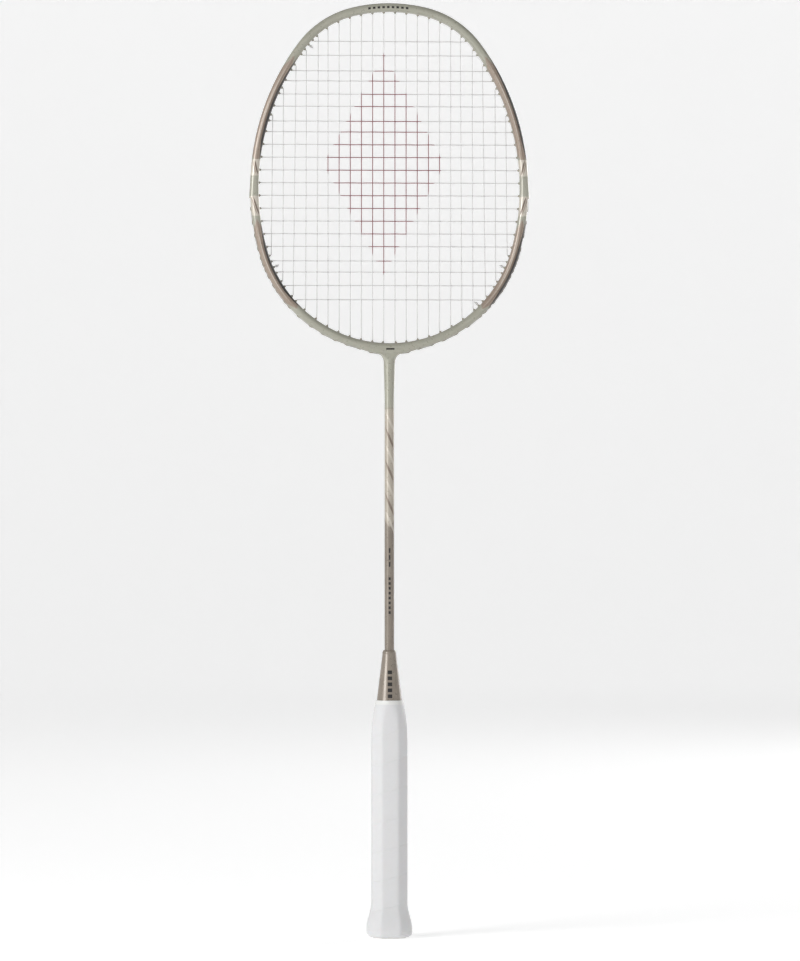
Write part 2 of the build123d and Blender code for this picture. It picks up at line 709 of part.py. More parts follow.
knots = {
    "main_knot_left": HOLES["main_tie", -1],
    "main_knot_right": HOLES["main_tie", 1],
    "cross_knot_upper": HOLES["cross_high_tie", -1],
    "cross_knot_lower": HOLES["cross_low_tie", 1],
}
for name, hole in knots.items():
    with BuildPart() as knot:
        with Locations(bore_plane(hole)):
            Cylinder(KNOT_RADIUS, KNOT_LENGTH, align=(Align.CENTER, Align.CENTER, Align.MAX))
        fillet(knot.edges(), 0.5)
    save(knot.part, name)
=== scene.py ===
import math

import bpy
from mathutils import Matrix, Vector


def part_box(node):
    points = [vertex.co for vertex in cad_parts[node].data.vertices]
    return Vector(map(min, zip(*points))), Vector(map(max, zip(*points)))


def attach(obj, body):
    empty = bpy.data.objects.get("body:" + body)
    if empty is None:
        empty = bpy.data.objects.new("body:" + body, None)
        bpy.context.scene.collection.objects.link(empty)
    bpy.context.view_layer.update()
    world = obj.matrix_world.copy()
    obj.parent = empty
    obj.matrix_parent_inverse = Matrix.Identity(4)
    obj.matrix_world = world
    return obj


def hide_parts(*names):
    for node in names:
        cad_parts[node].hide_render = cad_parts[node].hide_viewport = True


bl_info = {
    "name": "Strung Racket Looks",
    "version": (1, 0, 0),
    "blender": (4, 5, 0),
    "location": "View3D > Sidebar > Racket",
    "description": "Strings, grommets, wrapped grip and finishes for a badminton racket",
    "category": "Object",
}

# The racket stands on its butt with its shaft along Z and its face along -Y. The functions
# below work in millimetres, and a piece's mesh is scaled to metres when it is made.
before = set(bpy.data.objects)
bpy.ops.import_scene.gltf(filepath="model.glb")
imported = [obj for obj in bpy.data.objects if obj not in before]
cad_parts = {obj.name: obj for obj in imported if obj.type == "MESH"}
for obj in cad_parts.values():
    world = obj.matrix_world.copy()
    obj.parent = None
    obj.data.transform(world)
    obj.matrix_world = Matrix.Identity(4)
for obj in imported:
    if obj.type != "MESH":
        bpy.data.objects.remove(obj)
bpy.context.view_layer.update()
MM = 0.001

# ---- Sizes shared with the frame
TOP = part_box("head_frame")[1].z / MM
TUBE_WIDTH = 6.2
SIDE_ARCS = ((94.7, 74.5), (171.5, 126.7), (65.8, 166.5))   # radius, heading where it ends
BAND_LOW = 87.5
GROOVE_FLOOR_LOW = 2.5
GROOVE_FLOOR_HIGH = 1.6
THROAT_DROP = 1.9
THROAT_HALF_SPAN = 22.0
MAIN_FIRST = 4.05
MAIN_PITCH = 8.07
MAINS_PER_SIDE = 11
CROSS_TOP = 648.2
CROSS_GAPS = (10.1,) * 2 + (9.2,) * 17 + (10.1,)
TIE_LENGTHS = {"main_tie": 110.0, "cross_low_tie": 75.0, "cross_high_tie": 283.5}
ONE_SIDED = {"cross_high_tie": -1, "cross_low_tie": 1}
HOLE_PITCH = 4.6
SPREADING_PASSES = 200
INNER_REACH = 4.8
STRING_SEAT = 0.9
THROAT_EXIT_HEADING = 4.8
WEAVE_HEIGHT = 0.82
LANE = 0.75
RAMP_REACH = 1.8
TURN_REACH = 0.6
LONGEST_RADIUS = 20.0
GRIP_FLARE = ((0.9, 2.9), (2.2, 4.7), (4.5, 5.35), (8.0, 5.2), (12.0, 4.65), (16.0, 3.6),
              (20.0, 2.5), (24.0, 1.9))
GRIP_THICKNESS = 1.9
GRIP_TURNING = ((148.0, 13.95), (159.0, 12.3), (171.3, 9.8))
CORE_DISTANCES = (11.1, 10.755, 9.85)      # side, diagonal and front facets from the axis
SHAFT_RADIUS = 3.5

# ---- Sizes of the looks alone
GRIP_TURNED_FROM = 130.0
GRIP_THINNING = ((140.0, 1.0), (150.0, 0.95), (160.0, 0.72), (171.3, 0.25))
GRIP_CORNER_POWER = 40
GRIP_TOP_GAP = 2.4
STEPS_PER_TURN = 72
LAP_BEGINS = 0.97                          # turns wound before the strip lies on itself
THINNEST_STRIP = 0.08
THROAT_BAR_Z = 425.3
CROWN_FROM = 600.0
OUT_OF_REACH = 50.0
MEAN_RADIUS = 12.4
KNOT_POINTS = 29
KNOT_POINTS_PER_TURN = 8
KNOT_RADIUS = 0.68
KNOT_LENGTH = 1.75
GROMMET_LENGTH = 6.4
GROMMET_TIP_GAP = 0.55                     # from the hole's inner end to the grommet's tip
GROMMET_SEAT_GAP = 0.5
STRIP_START = 9.5
STRIP_END_GAP = 0.6
STRIP_STEPS = 640
STRIP_RISE = 0.42
BUMP_RISE = 0.85
BUMP_HALF_LENGTH = 2.3
BUMP_BAND_GAP = 4.0
LAY_LENGTH = 3.0                           # of one turn of a string's fibres
LAY_STRANDS = 6
DIAMOND_CENTRE = (-4.0, 559.0)
DIAMOND_HALF_SIZE = (44.0, 80.0)
FRAME_COLOUR_FADE = (378.0, 384.0)         # where the shaft takes on the frame's colour


# ---- The head's outline and where the strings pass through it
class Arc:
    def __init__(self, x, z, radius, start, end):
        self.x, self.z, self.radius, self.start, self.end = x, z, radius, start, end
        self.run = radius * math.radians(end - start)


class Hole:
    def __init__(self, name, side, length, inner, outer):
        self.name, self.side, self.length = name, side, length
        self.inner, self.outer = inner, outer


def build_head_arcs():
    """The tangent arcs of one side of the head, from the throat to the crown."""
    radii = [radius for radius, _ in SIDE_ARCS]
    ends = [0.0] + [end for _, end in SIDE_ARCS] + [180.0]
    sines = [math.sin(math.radians(end)) for end in ends]
    cosines = [math.cos(math.radians(end)) for end in ends]
    reach = sum(r * (sines[i + 1] - sines[i]) for i, r in enumerate(radii))
    radii.append(reach / sines[-2])
    height = sum(r * (cosines[i] - cosines[i + 1]) for i, r in enumerate(radii))
    x, z = 0.0, TOP - TUBE_WIDTH / 2 - height
    arcs = []
    for i, radius in enumerate(radii):
        centre_x, centre_z = x - radius * sines[i], z + radius * cosines[i]
        arcs.append(Arc(centre_x, centre_z, radius, ends[i], ends[i + 1]))
        x, z = centre_x + radius * sines[i + 1], centre_z - radius * cosines[i + 1]
    return arcs


HEAD_ARCS = build_head_arcs()
THROAT_ARC = HEAD_ARCS[0]
THROAT_RISE = (THROAT_DROP + THROAT_ARC.radius
               - math.sqrt(THROAT_ARC.radius**2 - THROAT_HALF_SPAN**2))
CRESCENT_RADIUS = (THROAT_HALF_SPAN**2 + THROAT_RISE**2) / (2 * THROAT_RISE)
CRESCENT_Z = THROAT_ARC.z - THROAT_ARC.radius - THROAT_DROP + CRESCENT_RADIUS


def length_at(heading):
    """Distance along the tube's centre line from the throat to a heading."""
    arc = next(arc for arc in HEAD_ARCS if heading <= arc.end)
    before = sum(a.run for a in HEAD_ARCS if a.end < heading)
    return before + arc.radius * math.radians(heading - arc.start)


def heading_at(length):
    for arc in HEAD_ARCS:
        if length <= arc.run:
            return arc.start + math.degrees(length / arc.radius)
        length -= arc.run
    return HEAD_ARCS[-1].end


def head_point(heading, outward=0.0, side=1, y=0.0):
    arc = next(arc for arc in HEAD_ARCS if heading <= arc.end)
    turn = math.radians(heading)
    x = arc.x + (arc.radius + outward) * math.sin(turn)
    z = arc.z - (arc.radius + outward) * math.cos(turn)
    return Vector((side * x, y, z))


def throat_extra(heading):
    """How much further out the thickened throat's surface stands than the plain tube's."""
    drop = THROAT_ARC.z - CRESCENT_Z
    turn = math.radians(heading)
    across = CRESCENT_RADIUS + TUBE_WIDTH / 2
    reach = drop * math.cos(turn) + math.sqrt(across**2 - (drop * math.sin(turn)) ** 2)
    return max(0.0, reach - THROAT_ARC.radius - TUBE_WIDTH / 2)


def groove_floor(length):
    """Distance of the groove's floor outward from the centre line of the tube."""
    heading = heading_at(length)
    if heading < THROAT_ARC.end:
        return GROOVE_FLOOR_LOW + throat_extra(heading)
    ramp = (length - length_at(BAND_LOW)) / (2 * RAMP_REACH) + 0.5
    rise = min(1.0, max(0.0, ramp))
    return GROOVE_FLOOR_LOW + (GROOVE_FLOOR_HIGH - GROOVE_FLOOR_LOW) * rise


def main_heading(x, low):
    for arc in HEAD_ARCS if low else reversed(HEAD_ARCS):
        sine = (x - arc.x) / (arc.radius - INNER_REACH)
        if abs(sine) <= 1:
            heading = math.degrees(math.asin(sine))
            heading = heading if low else 180 - heading
            if arc.start <= heading <= arc.end:
                return heading
    raise ValueError("a main string misses the head")


def cross_heading(z):
    for arc in HEAD_ARCS:
        cosine = (arc.z - z) / (arc.radius - INNER_REACH)
        if abs(cosine) <= 1 and arc.start <= math.degrees(math.acos(cosine)) <= arc.end:
            return math.degrees(math.acos(cosine))
    raise ValueError("a cross string misses the head")


def hole_lengths():
    """Distance of every hole along one side, spread out where two would be too close."""
    lengths = dict(TIE_LENGTHS)
    for i in range(MAINS_PER_SIDE):
        x = MAIN_FIRST + MAIN_PITCH * i
        lengths[f"main_low_{i}"] = length_at(main_heading(x, low=True))
        lengths[f"main_high_{i}"] = length_at(main_heading(x, low=False))
    for j in range(len(CROSS_GAPS) + 1):
        lengths[f"cross_{j}"] = length_at(cross_heading(CROSS_TOP - sum(CROSS_GAPS[:j])))
    order = sorted(lengths, key=lambda name: lengths[name] + (0.1 if "main" in name else 0.0))
    for _ in range(SPREADING_PASSES):
        for first, second in zip(order, order[1:]):
            lack = HOLE_PITCH - (lengths[second] - lengths[first])
            if lack > 0:
                lengths[first] -= lack / 2
                lengths[second] += lack / 2
    return lengths


def make_hole(name, side, length):
    inner = head_point(heading_at(length), -INNER_REACH, side)
    if name == "main_low_0":
        inner = Vector((side * MAIN_FIRST, 0, inner.z))
        length = length_at(THROAT_EXIT_HEADING)
    outer = head_point(heading_at(length), groove_floor(length) + STRING_SEAT, side)
    return Hole(name, side, length, inner, outer)


HOLES = {
    (name, side): make_hole(name, side, length)
    for name, length in hole_lengths().items()
    for side in (-1, 1)
    if ONE_SIDED.get(name, side) == side
}


# ---- Routes of the two strings
def outside_run(first, last, lane):
    """Points of a string in the groove between two holes, beside any hole that it passes."""
    if first.side != last.side:
        return []
    low, high = sorted((first.length, last.length))
    passed = [h for h in HOLES.values() if h.side == first.side and low < h.length < high]
    if not passed and not low < length_at(BAND_LOW) < high:
        return []
    start, end = low + RAMP_REACH, high - RAMP_REACH
    count = max(2, math.ceil((end - start) / HOLE_PITCH) + 1)
    points = []
    for i in range(count):
        length = start + (end - start) * i / (count - 1)
        seat = groove_floor(length) + STRING_SEAT
        points.append(head_point(heading_at(length), seat, first.side, lane if passed else 0))
    return points if first.length < last.length else points[::-1]


def crossing(main, cross):
    """Where a main and a cross meet in the plane of the strings, or None."""
    (low, high), (left, right) = main, cross
    run, rise, gap = high - low, right - left, left - low
    scale = run.x * rise.z - run.z * rise.x
    along = (gap.x * rise.z - gap.z * rise.x) / scale
    across = (gap.x * run.z - gap.z * run.x) / scale
    return low + run * along if 0 < along < 1 and 0 < across < 1 else None


def main_ends():
    """The two holes of every main, from left to right."""
    numbers = [(-1, i) for i in reversed(range(MAINS_PER_SIDE))]
    numbers += [(1, i) for i in range(MAINS_PER_SIDE)]
    return [(HOLES[f"main_low_{i}", side], HOLES[f"main_high_{i}", side]) for side, i in numbers]


def laced(rows, first_tie, last_tie, lane):
    """One string through every row in turn, there and back, from one tie-off to the other."""
    points, hole = [first_tie.inner, first_tie.outer], first_tie
    for k, (start, end, inside) in enumerate(rows):
        if k % 2:
            start, end, inside = end, start, inside[::-1]
        points += outside_run(hole, start, lane)
        points += [start.outer, start.inner, *inside, end.inner, end.outer]
        hole = end
    return points + outside_run(hole, last_tie, lane) + [last_tie.outer, last_tie.inner]


def main_route():
    """The mains from the left tie-off to the right one."""
    rows = [(low, high, []) for low, high in main_ends()]
    return laced(rows, HOLES["main_tie", -1], HOLES["main_tie", 1], LANE)


def cross_route():
    """The crosses from the upper tie-off on the left, woven through the mains."""
    rows = []
    for j in range(len(CROSS_GAPS) + 1):
        left, right = HOLES[f"cross_{j}", -1], HOLES[f"cross_{j}", 1]
        woven = []
        for k, (low, high) in enumerate(main_ends()):
            meeting = crossing((low.inner, high.inner), (left.inner, right.inner))
            if meeting:
                meeting.y = WEAVE_HEIGHT if (j + k) % 2 else -WEAVE_HEIGHT
                woven.append(meeting)
        rows.append((left, right, woven))
    return laced(rows, HOLES["cross_high_tie", -1], HOLES["cross_low_tie", 1], -LANE)


def bend_radius(before, corner, after):
    """Radius of the bend that takes up the same short length of string at every corner."""
    turn = (corner - before).angle(after - corner)
    return min(LONGEST_RADIUS, TURN_REACH / math.tan(max(turn, 0.01) / 2))


# ---- Meshes
def new_piece(name, points, edges=(), faces=()):
    """An object at the origin whose mesh has its place in it, from millimetres."""
    mesh = bpy.data.meshes.new(name)
    mesh.from_pydata([tuple(c * MM for c in p) for p in points], edges, faces)
    mesh.update()
    piece = bpy.data.objects.new(name, mesh)
    bpy.context.scene.collection.objects.link(piece)
    return piece


def attribute(mesh, name, kind, values):
    """Stores one value at each point of a mesh."""
    layer = mesh.attributes.new(name, kind, "POINT")
    flat = [c for v in values for c in v] if kind == "FLOAT_VECTOR" else list(values)
    layer.data.foreach_set("vector" if kind == "FLOAT_VECTOR" else "value", flat)


def chain(name, routes):
    """A piece whose edges follow each route, with the radius of every bend on its points."""
    points, edges, radii = [], [], []
    for route in routes:
        first = len(points)
        points += route
        edges += [(i, i + 1) for i in range(first, first + len(route) - 1)]
        bends = [bend_radius(*route[i - 1:i + 2]) for i in range(1, len(route) - 1)]
        radii += [0.0] + bends + [0.0]
    piece = new_piece(name, points, edges)
    attribute(piece.data, "bend_radius", "FLOAT", [r * MM for r in radii])
    return piece


def modified(piece, tree, **values):
    """Gives the piece a geometry tree with these inputs, and keeps the result as plain mesh."""
    modifier = piece.modifiers.new(tree.name, "NODES")
    modifier.node_group = tree
    sockets = {item.name: item.identifier for item in tree.interface.items_tree
               if item.item_type == "SOCKET" and item.in_out == "INPUT"}
    for name, value in values.items():
        modifier[sockets[name.replace("_", " ").capitalize()]] = value
    bpy.context.view_layer.update()
    evaluated = piece.evaluated_get(bpy.context.evaluated_depsgraph_get())
    mesh = bpy.data.meshes.new_from_object(evaluated)
    piece.modifiers.remove(modifier)
    old = piece.data
    piece.data = mesh
    bpy.data.meshes.remove(old)
    mesh.name = piece.name
    if not mesh.polygons:
        raise RuntimeError(f"{piece.name} came out of its geometry tree empty")
    return piece


def stand_in(piece, slot, *nodes):
    """Puts a finished piece in the place of these frame nodes."""
    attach(piece, "root")
    if nodes:
        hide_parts(*nodes)


def repaint(node, material):
    """Gives a frame node's object a new finish."""
    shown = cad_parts[node]
    if not shown.material_slots:
        shown.data.materials.append(material)
    for slot in shown.material_slots:
        slot.material = material


# ---- Node trees
class Wiring:
    """Adds nodes to a tree and wires their inputs as they are added."""

    def __init__(self, tree):
        self.tree = tree

    def add(self, kind, *inputs, **settings):
        node = self.tree.nodes.new(kind)
        for key, value in settings.items():
            setattr(node, key, value)
        for place, value in enumerate(inputs):
            if value is not None:
                self.join(value, node.inputs[place])
        return node

    def join(self, value, socket):
        if isinstance(value, bpy.types.NodeSocket):
            self.tree.links.new(value, socket)
        else:
            socket.default_value = value

    def math(self, operation, *values, clamp=False):
        kind = "ShaderNodeMath"
        return self.add(kind, *values, operation=operation, use_clamp=clamp).outputs[0]

    def blend(self, share, under, over):
        """One colour over another by a share from 0 to 1."""
        node = self.add("ShaderNodeMix", data_type="RGBA")
        for value, place in ((share, 0), (under, 6), (over, 7)):
            self.join(value, node.inputs[place])
        return node.outputs[2]


class Finish(Wiring):
    """A procedural material, wired round one Principled shader."""

    def __init__(self, name, **sockets):
        self.material = bpy.data.materials.new(name)
        self.material.use_nodes = True
        super().__init__(self.material.node_tree)
        self.shader = self.tree.nodes["Principled BSDF"]
        self.set(**sockets)
        self.place = self.in_millimetres(self.add("ShaderNodeTexCoord").outputs["Object"])
        self.x, self.y, self.z = self.add("ShaderNodeSeparateXYZ", self.place).outputs

    def set(self, **sockets):
        for name, value in sockets.items():
            words = name.replace("_", " ").title().replace("Ior", "IOR")
            self.join(value, self.shader.inputs[words])

    def vector(self, operation, *values):
        return self.add("ShaderNodeVectorMath", *values, operation=operation).outputs

    def in_millimetres(self, vector):
        scaled = self.add("ShaderNodeVectorMath", vector, operation="SCALE")
        scaled.inputs["Scale"].default_value = 1 / MM
        return scaled.outputs[0]

    def stored(self, name):
        """A value stored on the piece's own points."""
        return self.add("ShaderNodeAttribute", attribute_name=name).outputs["Fac"]

    def noise(self, scale, detail=2.0, roughness=0.5, vector=None, stretch=None):
        """Noise whose grains are about 1 / scale millimetres across."""
        vector = vector or self.place
        if stretch:
            vector = self.vector("MULTIPLY", vector, stretch)[0]
        node = self.add("ShaderNodeTexNoise", vector)
        node.inputs["Scale"].default_value = scale
        node.inputs["Detail"].default_value = detail
        node.inputs["Roughness"].default_value = roughness
        return node.outputs["Fac"]

    def cells(self, scale, vector=None):
        """Distance from the middle of the nearest cell, on cells about 1 / scale millimetres."""
        node = self.add("ShaderNodeTexVoronoi", vector or self.place)
        node.inputs["Scale"].default_value = scale
        return node.outputs["Distance"]

    def ranged(self, value, low, high, to_low=0.0, to_high=1.0):
        return self.add("ShaderNodeMapRange", value, low, high, to_low, to_high).outputs[0]

    def clouded(self, scale, share, colour, other):
        """A colour that goes over softly to another by at most this share."""
        cloud = self.ranged(self.noise(scale), 0.3, 0.7, 0.0, share)
        return self.blend(cloud, colour, other)

    def bump(self, height, distance, strength=1.0, under=None):
        node = self.add("ShaderNodeBump")
        node.inputs["Strength"].default_value = strength
        node.inputs["Distance"].default_value = distance * MM
        self.join(height, node.inputs["Height"])
        if under:
            self.join(under, node.inputs["Normal"])
        return node.outputs[0]

    def only(self, mask, value, shift=0.0):
        """The value plus a shift where the mask is 1, and far out of reach where it is 0."""
        away = self.math("MULTIPLY", self.math("SUBTRACT", 1.0, mask), OUT_OF_REACH)
        return self.math("ADD", self.math("ADD", value, shift), away)

    def grouped(self, tree, *inputs):
        node = self.add("ShaderNodeGroup", node_tree=tree)
        for value, socket in zip(inputs, node.inputs):
            self.join(value, socket)
        return node.outputs[0]


def tint(red, green, blue):
    """A colour given on the usual 0 to 255 scale, as the shaders want it."""
    def linear(c):
        c /= 255
        return c / 12.92 if c <= 0.04045 else ((c + 0.055) / 1.055) ** 2.4
    return (linear(red), linear(green), linear(blue), 1.0)


def open_group(name, kind, inputs, output):
    tree = bpy.data.node_groups.new(name, kind)
    for label, socket in inputs:
        tree.interface.new_socket(label, in_out="INPUT", socket_type=socket)
    tree.interface.new_socket(output[0], in_out="OUTPUT", socket_type=output[1])
    wiring = Wiring(tree)
    given = {socket.name: socket for socket in wiring.add("NodeGroupInput").outputs}
    return wiring, given, wiring.add("NodeGroupOutput")


def paint_group(name, *floats):
    """A group that paints one colour over another, steered by these numbers."""
    inputs = [("Under", "NodeSocketColor"), ("Over", "NodeSocketColor")]
    inputs += [(label, "NodeSocketFloat") for label in floats]
    return open_group(name, "ShaderNodeTree", inputs, ("Color", "NodeSocketColor"))


def stripe_group():
    """One straight stripe of paint that runs up the piece between two heights.

    Its middle runs from Start to End across the piece, and its two ends taper in over
    1 / Entry and 1 / Exit of its length."""
    w, g, out = paint_group("Stripe", "Across", "Height", "Bottom", "Top", "Start", "End",
                            "Half width", "Softness", "Entry", "Exit", "Strength")
    climbed = w.math("SUBTRACT", g["Height"], g["Bottom"])
    share = w.math("DIVIDE", climbed, w.math("SUBTRACT", g["Top"], g["Bottom"]))
    left = w.math("SUBTRACT", 1.0, share)
    middle = w.math("MULTIPLY_ADD", share, w.math("SUBTRACT", g["End"], g["Start"]), g["Start"])
    entry = w.math("MULTIPLY", share, g["Entry"], clamp=True)
    leave = w.math("MULTIPLY", left, g["Exit"], clamp=True)
    taper = w.math("MULTIPLY", entry, leave)
    off = w.math("ABSOLUTE", w.math("SUBTRACT", g["Across"], middle))
    spare = w.math("SUBTRACT", w.math("MULTIPLY", g["Half width"], taper), off)
    edge = w.math("ADD", w.math("DIVIDE", spare, g["Softness"]), 0.5, clamp=True)
    present = w.math("MULTIPLY", taper, 12.0, clamp=True)
    mask = w.math("MULTIPLY", w.math("MULTIPLY", edge, present), g["Strength"])
    w.join(w.blend(mask, g["Under"], g["Over"]), out.inputs[0])
    return w.tree


def dash_group():
    """A row of plain dashes between two distances along the piece."""
    w, g, out = paint_group("Dash row", "Along", "Across", "Low", "High", "Pitch", "Share",
                            "Half width")
    travelled = w.math("DIVIDE", w.math("SUBTRACT", g["Along"], g["Low"]), g["Pitch"])
    on = w.math("LESS_THAN", w.math("FRACT", travelled), g["Share"])
    begun = w.math("GREATER_THAN", g["Along"], g["Low"])
    ended = w.math("LESS_THAN", g["Along"], g["High"])
    within = w.math("LESS_THAN", w.math("ABSOLUTE", g["Across"]), g["Half width"])
    mask = w.math("MULTIPLY", w.math("MULTIPLY", on, begun), w.math("MULTIPLY", ended, within))
    w.join(w.blend(mask, g["Under"], g["Over"]), out.inputs[0])
    return w.tree


# Plain striping on the head's tube; its dark edges are partly painted shade. Across runs from -3.1
# on the tube's inner edge to 3.1 on its outer one. A stripe is bottom, top, start, end, half width,
# softness, entry, exit, colour and strength. A row of dashes is its two ends, pitch, the dashes'
# share of it and half width.
CROWN_DASHES = (-15.6, 15.0, 3.4, 0.55, 0.75)
THROAT_BAR = (-2.6, 3.4, 12.0, 0.5, 0.6)
SHAFT_DASHES = ((234.0, 262.0, 3.5, 0.55, 0.75), (268.0, 283.0, 5.0, 0.7, 0.55))
CONE_BARS = (173.4, 194.4, 4.3, 0.62, 1.6)
PALE, TAUPE, BROWN, DARK = (188, 181, 170), (136, 120, 107), (96, 78, 66), (34, 29, 26)
SHAFT_GROUND = (166, 158, 145)
UPPER_STRIPES = (560.0, 637.0)
LOWER_STRIPES = (454.0, 519.0)
BAND_EDGES = ((550.0, 562.0), (521.0, 535.6))
SHAFT_STRIPES = (296.0, 382.0)
SHAFT_STRIPE_PITCH = 12.0
SHAFT_STRIPE_RISE = 20.0
SHAFT_STRIPE_SWEEP = (5.0, -4.0)


def stripe_set(bottom, top, shade_side):
    """Four straight stripes along the tube: a taupe ground, a dark edge and two thin lines, with
    the dark edge partly painted shade on the side away from the key light.
    """
    # The dark row is partly painted shade, laid on the side of the tube away from the key light;
    # the pale line goes on the lit side.
    rows = ((0.0, 4.4, 1.0, 12, 6, TAUPE, 0.95), (2.6, 1.5, 0.3, 5, 3, DARK, 1.0),
            (0.6, 0.35, 0.3, 3, 3, BROWN, 0.95), (-0.6, 0.22, 0.2, 3, 3, PALE, 0.95))
    return tuple((bottom, top, out * shade_side, out * shade_side, *look) for out, *look in rows)


def band_edge(bottom, top):
    """A pale ground with two plain diagonals, beside the plain band."""
    rows = ((0.0, 0.0, 4.2, 0.6, 30, 30, PALE, 0.9), (-2.4, 1.4, 0.6, 0.25, 4, 4, BROWN, 0.95),
            (-1.0, 2.8, 0.4, 0.25, 4, 4, TAUPE, 0.95))
    return tuple((bottom, top, *row) for row in rows)


def shaft_stripes():
    """A pale ground with evenly spaced diagonals, in turn pale and brown."""
    bottom, top = SHAFT_STRIPES
    stripes = [(bottom, top, 0.0, 0.0, 14.0, 1.5, 4, 60, SHAFT_GROUND, 0.85)]
    for k in range(int((top - bottom) / SHAFT_STRIPE_PITCH)):
        high = top - k * SHAFT_STRIPE_PITCH
        colour = BROWN if k % 2 else PALE
        stripes.append((high - SHAFT_STRIPE_RISE, high, *SHAFT_STRIPE_SWEEP, 0.9, 0.6, 3, 3,
                        colour, 0.8))
    return stripes


def striped(finish, tree, colour, across, stripes):
    """Paints each stripe in turn over a colour."""
    for bottom, top, start, end, half, soft, entry, leave, paint, strength in stripes:
        colour = finish.grouped(tree, colour, tint(*paint), across, finish.z, bottom, top,
                                start, end, half, soft, entry, leave, strength)
    return colour


def tube_across(finish):
    """Distance outward from the centre line of the head's tube, found from its arcs."""
    side = finish.math("ABSOLUTE", finish.x)
    flat = finish.add("ShaderNodeCombineXYZ", side, 0.0, finish.z).outputs[0]
    result = None
    for arc in HEAD_ARCS:
        centre = (arc.x, 0.0, arc.z)
        away = finish.vector("DISTANCE", flat, centre)["Value"]
        outward = finish.math("SUBTRACT", away, arc.radius)
        if result is None:
            result = outward
            continue
        start = arc.z - arc.radius * math.cos(math.radians(arc.start))
        above = finish.math("GREATER_THAN", finish.z, start)
        step = finish.math("SUBTRACT", outward, result)
        result = finish.math("MULTIPLY_ADD", step, above, result)
    return result


def pearl(finish, colour):
    """Fine flake and soft unevenness in a lacquer's colour."""
    cloud = finish.ranged(finish.noise(0.12), 0.3, 0.7, 0.0, 0.04)
    flake = finish.ranged(finish.cells(7.0), 0.1, 0.5, 0.05, 0.0)
    shift = finish.math("ADD", cloud, flake)
    return finish.blend(shift, colour, tint(236, 232, 220))


def lacquer(finish, colour):
    """The clear coat shared by the painted parts."""
    finish.set(base_color=colour,
               roughness=finish.ranged(finish.noise(0.6), 0.3, 0.7, 0.26, 0.36),
               metallic=0.2, coat_weight=0.3, coat_roughness=0.1)
    finish.set(normal=finish.bump(finish.noise(5.0, detail=1.0), 0.003, 0.3))
    return finish.material


# ---- Settings
def length_setting(name, description, default, low=0.0):
    return bpy.props.FloatProperty(name=name, description=description, default=default, min=low,
                                   subtype="DISTANCE", unit="LENGTH", precision=5)


def colour_setting(name, description, default):
    return bpy.props.FloatVectorProperty(name=name, description=description, size=4, min=0, max=1,
                                         default=tint(*default), subtype="COLOR")


def number_setting(name, description, default, most):
    return bpy.props.FloatProperty(name=name, description=description, default=default, min=0,
                                   max=most)


def power_setting(name, description, default):
    return bpy.props.FloatProperty(name=name, description=description, default=default, min=0,
                                   unit="POWER")


def angle_setting(name, description, degrees):
    return bpy.props.FloatProperty(name=name, description=description,
                                   default=math.radians(degrees), subtype="ANGLE",
                                   unit="ROTATION")


def count_setting(name, description, default, least, most):
    return bpy.props.IntProperty(name=name, description=description, default=default, min=least,
                                 max=most)


class RacketPaint(bpy.types.PropertyGroup):
    """Colours of the painted and moulded parts."""

    frame_colour: colour_setting("Frame", "Pearl lacquer of the head frame", (149, 148, 135))
    shaft_colour: colour_setting("Shaft", "Metallic lacquer of the shaft and cone", (120, 110, 99))
    mark_colour: colour_setting("Marks", "Dark printing on frame, shaft and cone", (26, 22, 20))
    cap_colour: colour_setting("Butt cap", "Moulded plastic of the butt cap", (226, 226, 222))


class RacketStringing(bpy.types.PropertyGroup):
    """Sizes and colours of the strings and grommets."""

    gauge: length_setting("Gauge", "Diameter of the string", 0.00068, 0.0003)
    sides: count_setting("Sides", "Sides of a string's section", 8, 3, 32)
    bend_steps: count_setting("Bend steps", "Points on every bend", 3, 1, 16)
    colour: colour_setting("String", "Nylon of the strings", (196, 195, 194))
    ink_colour: colour_setting("Ink", "Stencilled diamond on the strings", (116, 26, 42))
    grommet_colour: colour_setting("Grommets", "Nylon of the grommets", (144, 141, 128))


class RacketGrip(bpy.types.PropertyGroup):
    """Sizes and colour of the wrapped grip."""

    width: length_setting("Strip width", "Width of the wound strip", 0.025, 0.01)
    pitch: length_setting("Pitch", "Climb of the strip in one turn", 0.021, 0.005)
    start_angle: angle_setting("Start", "Where round the butt the strip begins", -108)
    colour: colour_setting("Grip", "Cushioned strip of the grip", (205, 205, 206))


class RacketStage(bpy.types.PropertyGroup):
    """Floor, light and camera."""

    floor_colour: colour_setting("Floor", "Pale floor and backdrop", (250, 250, 250))
    key_power: power_setting("Key", "Light from the left", 38.0)
    back_power: power_setting("Back", "Light from behind on the right", 24.0)
    top_power: power_setting("Top", "Light from overhead", 2.0)
    ambient: number_setting("Ambient", "Brightness of the surroundings", 0.3, 5.0)
    glow: number_setting("Glow", "Light that the floor gives off by itself", 0.36, 5.0)
    view_angle: angle_setting("View angle", "Camera's turn to the left of straight on", 3.5)
    distance: length_setting("Distance", "From the camera to the racket", 4.0, 0.5)
    view_height: length_setting("View height", "Height that the picture takes in", 0.6944, 0.1)


# ---- Geometry trees
def geometry_group(name, inputs):
    sockets = [("Geometry", "NodeSocketGeometry")] + inputs
    return open_group(name, "GeometryNodeTree", sockets, ("Geometry", "NodeSocketGeometry"))


def read_value(w, name, kind="FLOAT"):
    return w.add("GeometryNodeInputNamedAttribute", name, data_type=kind).outputs[0]


def store_value(w, geometry, name, value):
    kept = w.add("GeometryNodeStoreNamedAttribute", geometry, None, name, data_type="FLOAT",
                 domain="POINT")
    w.join(value, kept.inputs["Value"])
    return kept.outputs[0]


